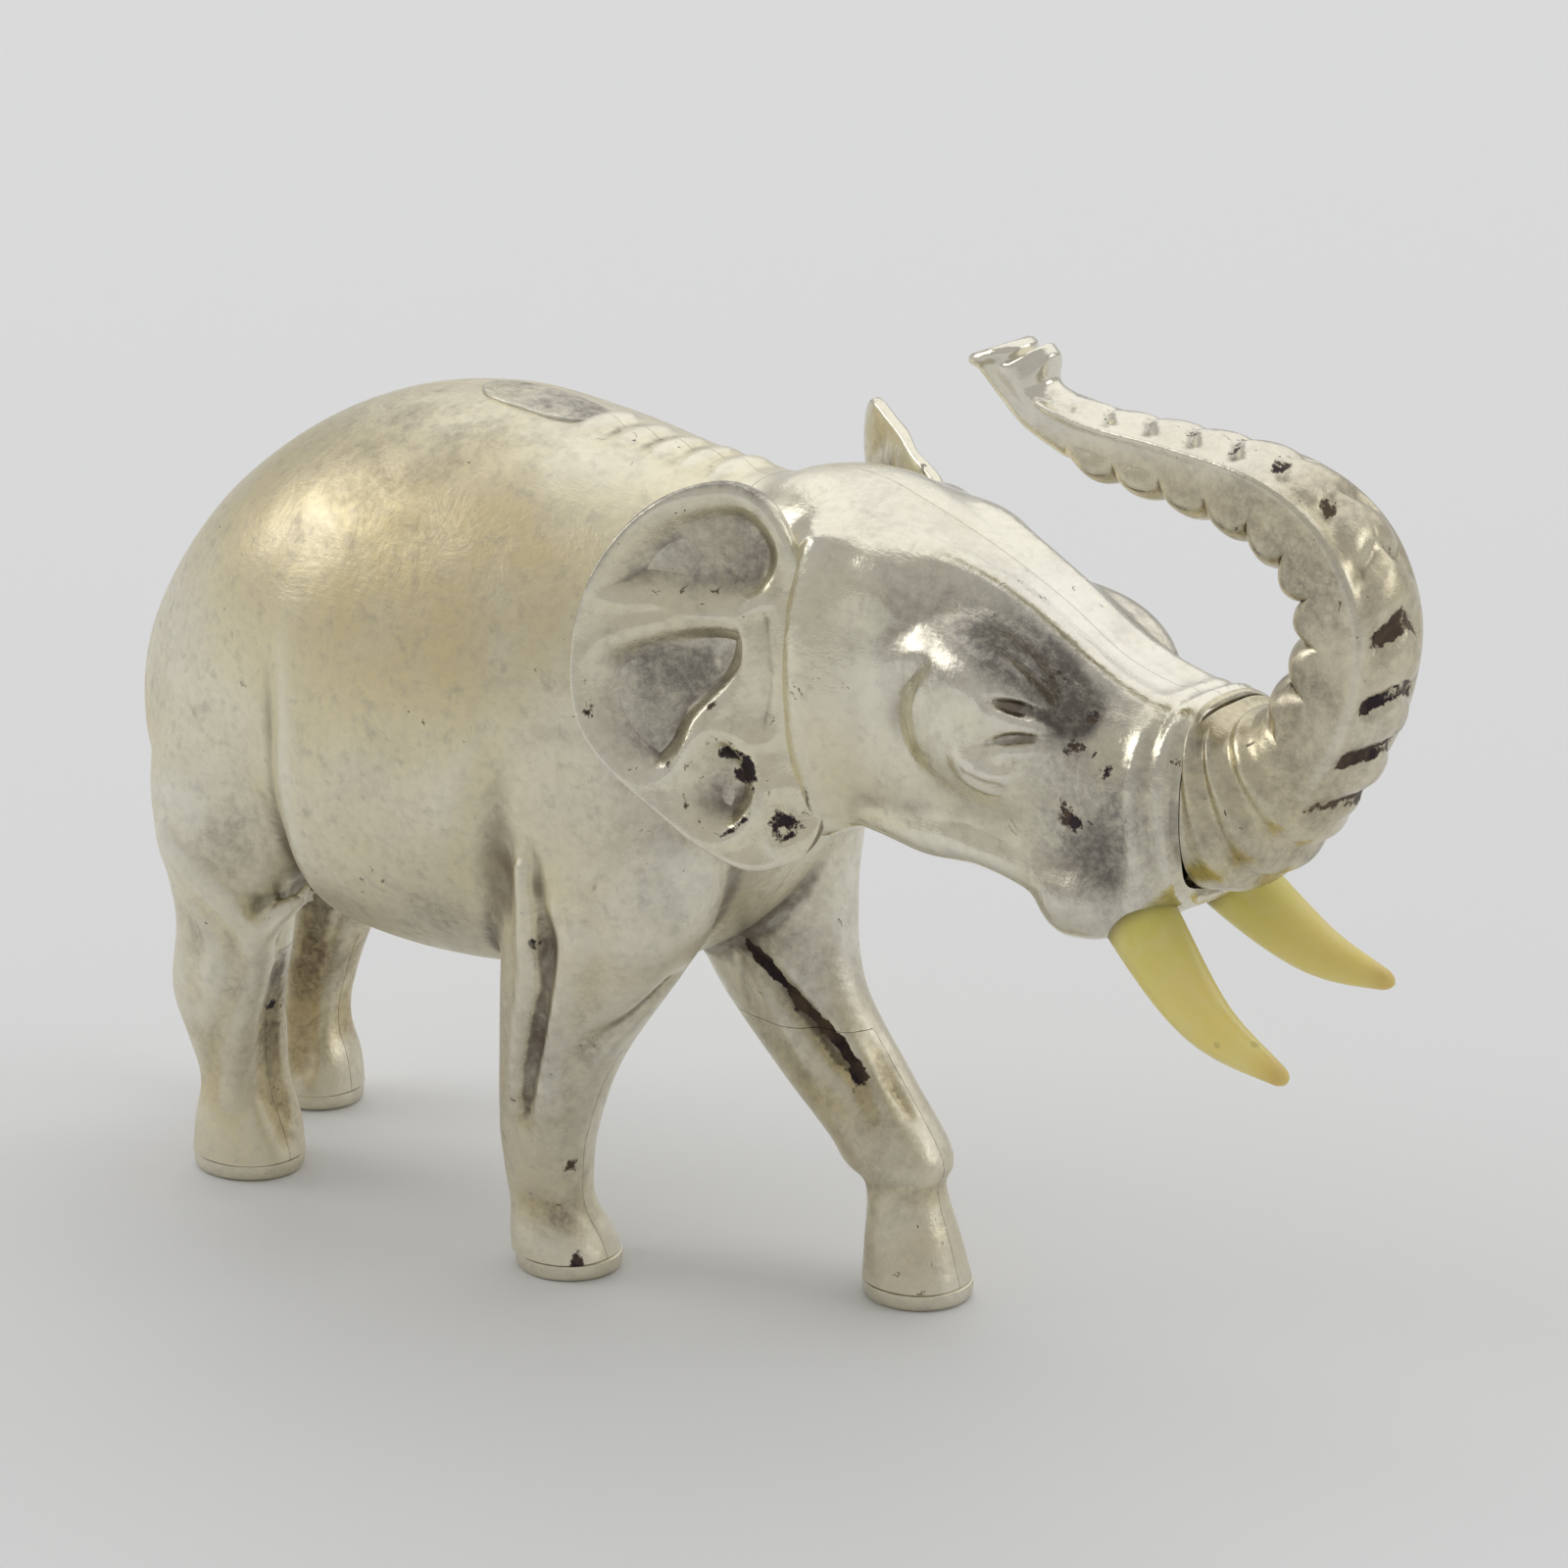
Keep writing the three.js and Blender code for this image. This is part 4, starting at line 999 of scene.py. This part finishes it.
def trunk_surface():
    """Rings along a curve in the middle plane, and the soot on them. The radius is the
    table's, blended at the root into the muzzle's outline, with a ridge on either side, less
    scoops that repeat across the outer side, plus knuckles along the inner side, folds and a
    collar at the root, and a finger, a lobe with a notch, at the tip. The tip slants: its
    outer side ends earlier. The first rings make a spigot that enters the muzzle and the last
    ones turn in to make the nostril's hollow."""
    x, z, size = line_through(tables(TRUNK, ("x", "z", "radius")), 560).T
    path = upright(x, z)
    lengths = np.linalg.norm(np.diff(path, axis=0), axis=1)
    along = np.append(0, np.cumsum(lengths))[:, None]
    length = along[-1, 0]
    share = along / length
    ahead = unit(np.gradient(path, axis=0))
    ahead[:6] = [1, 0, 0]
    for _ in range(60):
        ahead[1:-1] = (ahead[:-2] + ahead[1:-1] + ahead[2:]) / 3
    ahead = unit(ahead)
    v = np.linspace(-np.pi, np.pi, 160, endpoint=False)[None, :]
    off = np.abs(v)
    ridge = 0.22 * hill(off, 2.08, 0.13) * step(share, 0.1, 0.2) * step(share, 0.93, 0.85)
    band = step(share, 0.1, 0.16) * step(share, 0.88, 0.8)
    window = step(off, 2.15, 2.45) * (1 - 0.35 * step(off, 2.8, np.pi))
    phase = SCOOPS * (share - 0.1) / 0.78 - 0.35 * (off - 2.3)
    scoop = hill(phase - np.floor(phase), 0.5, 0.22)
    scoops = (0.34 - 0.1 * step(share, 0.55, 0.85)) * scoop * band * window
    knuckle = np.sqrt(np.abs(np.sin(np.pi * KNUCKLES * (share - 0.17) / 0.66)))
    knuckles = 0.55 * (knuckle - 0.3) * step(off, 1.45, 0.85)
    knuckles = knuckles * step(share, 0.14, 0.2) * step(share, 0.86, 0.78)
    cheeks = 0.12 * hill(off, 1.55, 0.35) * step(share, 0.2, 0.3)
    lobe = hill(along, length - 1.7, 0.75)
    finger = 1.05 * (1 - (1 - lobe) ** 2) * hill(off, np.pi, 0.85)
    notch = 0.15 * hill(along, length - 0.6, 0.2) * hill(off, np.pi, 0.7)
    flare = 0.15 * hill(along, length, 0.3)
    folds = 0.12 * np.sin(2 * np.pi * along / 1.3 + 1.6 * np.sin(v))
    folds = folds * step(share, 0.16, 0.08) * step(share, 0.03, 0.05)
    collar = 0.12 * hill(along, 0.6, 0.3) - 0.12 * hill(along, 1.15, 0.25)
    square = 1 + 0.09 * (1 - np.cos(4 * v)) / 2 * step(share, 0.16, 0.0)
    radius = size[:, None] * (1 - 0.05 * np.cos(2 * v)) * square
    radius = radius + ridge - scoops + knuckles - cheeks + finger - notch + flare
    radius = radius + (muzzle_reach(v) - radius) * step(along, 2.6, 0.0) + folds + collar
    slant = -0.4 * (1 - np.cos(v)) * step(along, length - 1.4, length)
    grid = rings(path, ahead, radius, v) + slant[..., None] * ahead[:, None, :]
    soot = band * window * step(scoop, 0.35, 0.9) * (0.42 + 0.53 * step(share, 0.4, 0.28))
    between = step(off, 1.4, 0.9) * step(share, 0.2, 0.25) * step(share, 0.8, 0.7)
    soot = soot + 0.35 * (1 - knuckle) * between
    root = end_rings(grid[0], path[0], ahead[0], SPIGOT)
    lip = end_rings(grid[-1], path[-1], ahead[-1], NOSTRIL)
    root_soot = np.full(root.shape[:2], 0.5)
    lip_soot = np.full(lip.shape[:2], 0.45) * (np.array(NOSTRIL)[:, :1] < 0.6)
    return np.concatenate([root, grid, lip]), np.concatenate([root_soot, soot, lip_soot])


grid, soot = trunk_surface()
points, faces = capped(grid)
masks = {
    "groove": hollowness(points, faces, GROOVE_ROUNDS),
    "soot": np.append(soot.ravel(), [0, 0.45]),
    "grey": 0.4 * hill(points[:, 0], 49, 4) + 0.35,
    "worn": 0.8 * step(points[:, 2], 36.5, 38) * step(points[:, 0], 52, 48),
    **even(points, toned=0.5, polish=0.6),
}
make("trunk_silver", points, faces, cast, "trunk", masks)

TUSKS = {
    "right": {"x": [43.0, 44.6, 48.4, 52.6], "y": [-2.4, -2.8, -3.9, -4.7], "z": [22.2, 20.4, 17.6, 16.4]},
    "left": {"x": [43.0, 44.7, 47.8, 50.9], "y": [2.4, 2.8, 3.9, 4.7], "z": [22.3, 20.6, 18.1, 17.1]},
}
TUSK = 1.4  # radius where it leaves its socket
TUSK_TIP = 0.3


def tusk_surface(at):
    """Round sections along a curve. Their radius falls with a power of the share of the
    length past the socket, and the last rings round off the blunt tip."""
    path = line_through(tables(at, "xyz"), 120)
    t = np.linspace(0, 3, len(path))
    slender = 1 - (np.clip(t - 1, 0, None) / 2) ** 1.5
    radius = TUSK_TIP + (TUSK - TUSK_TIP) * slender
    left = np.linalg.norm(path - path[-1], axis=1)
    radius = radius * np.sqrt(np.clip(1 - (1 - np.clip(left / 0.45, 0, 1)) ** 2, 0.004, 1))
    ahead = unit(np.gradient(path, axis=0))
    side = unit(np.cross(ahead, [0, 1, 0]))
    up = np.cross(ahead, side)
    v = turn(48)[None, :, None]
    across = np.cos(v) * side[:, None, :] + np.sin(v) * up[:, None, :]
    return path[:, None, :] + radius[:, None, None] * across, t / 3


for word, at in TUSKS.items():
    grid, along = tusk_surface(at)
    points, faces = capped(grid)
    shares = np.append(np.repeat(along, grid.shape[1]), [0, 1])
    masks = {"along": (shares - 0.3) / 0.7, "groove": hill(shares, 0.33, 0.05)}
    make(f"tusk_{word}_resin", points, faces, resin, "tusk_" + word, masks)

TAIL = {
    "x": [-4.2, -5.75, -6.5, -6.4, -6.1, -5.7],
    "z": [23.4, 21.4, 17.5, 13.0, 8.6, 5.5],
    "radius": [0.9, 0.82, 0.6, 0.52, 0.75, 0.25],
}


def tail_surface():
    """Round sections along a curve, with strands of hair towards the tip: the radius waves
    round the section and the waves twist along the tail."""
    x, z, size = line_through(tables(TAIL, ("x", "z", "radius")), 160).T
    path = upright(x, z)
    t = np.linspace(0, 5, len(path))[:, None]
    v = turn(40)[None, :]
    strands = 0.1 * np.sin(7 * v + 2 * t) * step(t, 3.2, 4)
    folds = 0.05 * np.sin(14 * t) * step(t, 3.6, 3.0)
    ahead = unit(np.gradient(path, axis=0))
    return rings(path, ahead, size[:, None] * (1 + strands + folds), v)


points, faces = capped(tail_surface())
masks = even(points, soot=0.2, toned=0.2, grey=0.2, worn=0.2, polish=0.2)
masks["groove"] = hollowness(points, faces, 10)
make("tail_silver", points, faces, cast, "tail", masks)


# Both ears' lower edge, from the rear up again at the cheek
EAR_LOWER = [(22.9, 28.2), (23.3, 25.6), (24.4, 23.7), (26.2, 21.9), (27.9, 20.5), (29.4, 19.9),
             (30.8, 20.5), (31.3, 22.2), (31.2, 25.5)]
EARS = {
    "right": {
        "upper": [(30.9, 29.5), (29.8, 32.6), (28.9, 34.0), (27.6, 34.6), (26.0, 34.2), (24.4, 32.8),
                  (23.4, 30.6)],
        "flare": 0.58,
        "tuck": 0.12,
        "grey_edge": 1.5,
    },
    "left": {
        "upper": [(30.9, 29.0), (30.7, 31.4), (29.8, 32.8), (28.0, 33.7), (26.3, 34.5), (24.9, 34.9),
                  (24.1, 33.6), (23.5, 31.0)],
        "flare": 0.52,
        "tuck": 0.2,
        "grey_edge": 0.0,
    },
}
BOWLS = [  # outlines pressed into the ear, and how deep
    ([(23.9, 30.4), (24.5, 32.1), (26.2, 33.6), (28.2, 33.8), (29.5, 32.2), (29.2, 30.4), (27.4, 29.9),
      (25.6, 30.2)], 0.75),
    ([(23.6, 27.6), (23.6, 26.0), (24.3, 24.5), (25.7, 23.4), (26.7, 24.2), (27.3, 25.5), (28.4, 27.2),
      (28.5, 29.0), (26.6, 29.2), (24.6, 28.6)], 0.85),
    ([(26.9, 23.1), (27.4, 24.6), (28.2, 25.0), (29.2, 24.0), (29.4, 22.6), (28.8, 21.5), (28.0, 21.3),
      (27.2, 21.9)], 0.8),
    ([(29.9, 22.8), (30.6, 22.7), (30.9, 21.7), (30.2, 21.2)], 0.35),
    ([(28.9, 29.6), (29.6, 29.6), (29.9, 27.0), (29.6, 25.2), (28.9, 25.6), (29.1, 27.2)], 0.35),
]


def closed_curve(points, count):
    """A closed smooth curve through the points, as that many points."""
    n = len(points)
    wrapped = np.array([points[i % n] for i in range(-3, n + 3)], float)
    at = np.arange(-3, n + 3)
    t = np.linspace(0, n, count, endpoint=False)
    return np.stack([curve(at, wrapped[:, i], t) for i in (0, 1)], 1)


def depth_inside(points, outline):
    """Distance of each point to a closed outline, positive inside and negative outside."""
    edge = closed_curve(outline, 72)
    a, b = edge[None], np.roll(edge, -1, 0)[None]
    p = points[:, None]
    d = b - a
    t = np.clip(((p - a) * d).sum(2) / (d * d).sum(2), 0, 1)[..., None]
    away = np.sqrt((((p - a) - t * d) ** 2).sum(2).min(1))
    rises = (a[..., 1] > p[..., 1]) != (b[..., 1] > p[..., 1])
    meets = a[..., 0] + (p[..., 1] - a[..., 1]) * d[..., 0] / np.where(d[..., 1] == 0, 1e-9, d[..., 1])
    inside = (rises & (p[..., 0] < meets)).sum(1) % 2 == 1
    return np.where(inside, away, -away)


EAR_AT = (30.8, 5.0, 27.0)  # where the outer face meets the cheek
EAR_MIDDLE = np.array([27.4, 27.6])
EAR_SHEET = 0.5
RIM = 260  # points round it
FACE_RINGS = 70
BACK_RINGS = 24
# Rings of the rounded edge: share of the outline's size, and how far in from the outer face
EAR_RIM = [(0.985, -0.03), (0.995, -0.09), (1.0, -0.17), (1.0, -0.33), (0.995, -0.41), (0.985, -0.47)]
# Spots on the right ear: middle, radius and amount
EAR_SOOT = [
    (27.8, -7.3, 27.4, 0.35, 0.8), (28.3, -6.6, 24.3, 0.5, 1.0), (28.9, -6.2, 23.5, 0.5, 1.0),
    (30.5, -5.6, 21.9, 0.4, 0.8),
]


def ear_surface(ear, side):
    """Rings round a middle, out over the outer face, round the rim and back over the inner
    face, with soot and grey on them. The face leans out backwards by the flare and downwards
    by the tuck, and the bowls are pressed in with steep walls."""
    outline = ear["upper"][1:] + EAR_LOWER + ear["upper"][:1]
    edge = closed_curve(outline, RIM)
    round_edge, thickness = np.array(EAR_RIM).T
    over, under = np.linspace(0.03, 0.97, FACE_RINGS), np.linspace(0.97, 0.03, BACK_RINGS)
    out = np.concatenate([over, round_edge, under])
    lift = np.concatenate([0 * over, thickness, 0 * under - EAR_SHEET])
    p = (EAR_MIDDLE + out[:, None, None] * (edge - EAR_MIDDLE)).reshape(-1, 2)
    x, z = p.T
    inside = depth_inside(p, outline)
    relief = 0.16 * hill(inside, 0.1, 0.5) + 0.1 * np.sin(x * 1.3 + z * 0.9)
    grey = np.zeros(len(p))
    soot = np.zeros(len(p))
    for bowl, deep in BOWLS:
        d = depth_inside(p, bowl)
        relief = relief - deep * (1 - np.exp(-((np.clip(d, 0, None) / 0.6) ** 2)))
        relief = relief + 0.12 * hill(d, -0.25, 0.3)
        grey = np.maximum(grey, step(d, 0.0, 0.9) * min(1.3 * deep, 0.9))
        soot = soot + 0.35 * hill(d, 0.05, 0.16) * step(z, 31, 24)
    relief = relief - 0.9 * step(x, 29.9, 31.2)
    lift = np.repeat(lift, RIM)
    y = EAR_AT[1] + ear["flare"] * (EAR_AT[0] - x) - ear["tuck"] * (z - EAR_AT[2])
    y = y + relief * (1 - 0.7 * step(lift, -0.2, -0.45)) + lift
    upper_edge = hill(inside, 0.0, 0.16) * step(z, 28.5, 30) * step(x, 29.2, 28.6)
    grid = np.stack([x, side * y, z], 1).reshape(len(out), RIM, 3)
    return grid, soot, grey + ear["grey_edge"] * upper_edge


for word, side in SIDES.items():
    grid, soot, grey = ear_surface(EARS[word], side)
    points, faces = capped(grid)
    masks = {
        "groove": hollowness(points, faces, GROOVE_ROUNDS),
        "soot": np.append(soot, [0, 0]) + blot(points, EAR_SOOT),
        "grey": np.append(grey, [0, 0]) + 0.1,
        **even(points, toned=0.1, worn=0, polish=0.8),
    }
    make(f"ear_{word}_silver", points, faces, struck, "ear_" + word, masks)

plug_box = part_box("vent_plug")
PLUG_AT = ((plug_box[0].x + plug_box[1].x) / 2 - DATUM[0]) / MM
PLUG = ((plug_box[1].x - plug_box[0].x) / 2 / MM, (plug_box[1].y - plug_box[0].y) / 2 / MM)
# Its rings: share of the outline's size, and height over the barrel
PLUG_PROFILE = [(0.04, 0.1), (0.3, 0.1), (0.6, 0.11), (0.85, 0.12), (0.95, 0.13), (0.99, 0.1), (1.0, 0.05),
                (0.99, -0.1), (0.8, -0.12), (0.4, -0.12), (0.04, -0.12)]


def barrel_top(x, y):
    """Height of the barrel's upper side."""
    middle, side, rise = (curve(TORSO["at"], TORSO[k], x) for k in ("middle", "side", "rise"))
    power = TORSO["square"]
    return middle + rise * (1 - np.abs(y / side) ** power) ** (1 / power)


def plug_surface():
    """A leaf-shaped plate that follows the back: rings from its middle out over the upper
    face, down the edge and back under."""
    v = turn(120)
    leaf = 1 + 0.12 * np.cos(2 * v) + 0.03 * np.sin(5 * v)
    outline = np.stack([PLUG[0] * np.cos(v), PLUG[1] * np.sin(v)], 1) * leaf[:, None] / 1.12
    grid = []
    for share, lift in PLUG_PROFILE:
        x, y = PLUG_AT + share * outline[:, 0], share * outline[:, 1]
        grid.append(np.stack([x, y, barrel_top(x, y) + lift], 1))
    return np.array(grid)


points, faces = capped(plug_surface())
masks = even(points, soot=0.1, toned=0, grey=0.85, worn=0, polish=0)
masks["groove"] = hollowness(points, faces, 4)
make("vent_plug_silver", points, faces, struck, "vent_plug", masks)

# Rings of a sole: share of the outline's size, and height
SOLE_PROFILE = [(0.2, 0.0), (0.6, 0.0), (0.88, 0.0), (0.95, 0.06), (0.985, 0.2), (0.995, 0.4),
                (0.995, 0.6), (0.985, 0.68), (0.95, SOLE), (0.6, SOLE), (0.2, SOLE)]


def sole_surface(leg):
    """A plate with the outline of the leg at the ground: rings from the middle of the lower
    face out, round the rounded edge and back over the upper face."""
    x0, y0, along, side = (leg[k][leg["at"].index(0)] for k in ("x", "y", "along", "side"))
    v = turn(96)
    x, y = along * np.cos(v), side * np.sin(v)
    grid = [np.stack([x0 + share * x, y0 + share * y, 0 * v + z], 1) for share, z in SOLE_PROFILE]
    return np.array(grid)


for name, leg in LEGS.items():
    points, faces = capped(sole_surface(leg))
    masks = even(points, soot=0.1, toned=0.4, grey=0.3, worn=0, polish=0)
    masks["groove"] = hollowness(points, faces, 6)
    make(f"sole_{name}_silver", points, faces, struck, "sole_" + name, masks)

# ---- Camera, floor and light ----------------------------------------------------------------

floor_mesh = bpy.data.meshes.new("floor")
floor_mesh.from_pydata([(-3, -3, 0), (3, -3, 0), (3, 3, 0), (-3, 3, 0)], [], [(0, 1, 2, 3)])
floor = bpy.data.objects.new("floor", floor_mesh)
bpy.context.scene.collection.objects.link(floor)
paper = bpy.data.materials.new("pale paper")
paper.use_nodes = True
paper_shader = paper.node_tree.nodes["Principled BSDF"]
paper_shader.inputs["Base Color"].default_value = (0.80, 0.81, 0.82, 1)
paper_shader.inputs["Roughness"].default_value = 0.7
floor_mesh.materials.append(paper)

# The camera stands off from a point under the belly and looks past it
AZIMUTH, ELEVATION, DISTANCE = 41, 22, 260  # degrees, degrees and mm
STANDS_OFF_FROM = np.array([15, 0, 0])
LOOKS_RIGHT, LOOKS_UP = 8.44, 17.75  # of the point, mm
LENS, SENSOR = 146.25, 36
a, e = np.radians([AZIMUTH, ELEVATION])
back = np.array([np.sin(a) * np.cos(e), -np.cos(a) * np.cos(e), np.sin(e)])
right = np.array([np.cos(a), np.sin(a), 0])
up = np.cross(back, right)
eye = (STANDS_OFF_FROM + DISTANCE * back) * MM + DATUM
look = LOOKS_RIGHT * right + LOOKS_UP * up - DISTANCE * back
camera = bpy.data.objects.new("camera", bpy.data.cameras.new("camera"))
camera.data.lens = LENS
camera.data.sensor_width = SENSOR
camera.data.clip_start = 0.01
camera.location = eye
camera.rotation_euler = Vector(look).to_track_quat("-Z", "Y").to_euler()
bpy.context.scene.collection.objects.link(camera)
bpy.context.scene.camera = camera


def softbox(name, place, size, watts):
    """A rectangular area light at a place, in metres, turned to the middle of the figure."""
    light = bpy.data.lights.new(name, "AREA")
    light.shape = "RECTANGLE"
    light.size, light.size_y = size
    light.energy = watts
    lamp = bpy.data.objects.new(name, light)
    lamp.location = place
    aim = Vector((0, 0, 0.018)) - Vector(place)
    lamp.rotation_euler = aim.to_track_quat("-Z", "Y").to_euler()
    bpy.context.scene.collection.objects.link(lamp)


softbox("overhead", (-0.1, 0.3, 0.5), (1.0, 0.9), 1.62)
softbox("left window", (-0.5, -0.25, 0.35), (0.35, 0.35), 0.68)
softbox("right card", (0.5, 0.3, 0.3), (0.3, 0.3), 0.34)
world = bpy.data.worlds.new("room")
world.use_nodes = True
background = world.node_tree.nodes["Background"]
background.inputs["Color"].default_value = (0.66, 0.65, 0.64, 1)
background.inputs["Strength"].default_value = 0.75
bpy.context.scene.world = world
bpy.context.scene.view_settings.view_transform = "Standard"
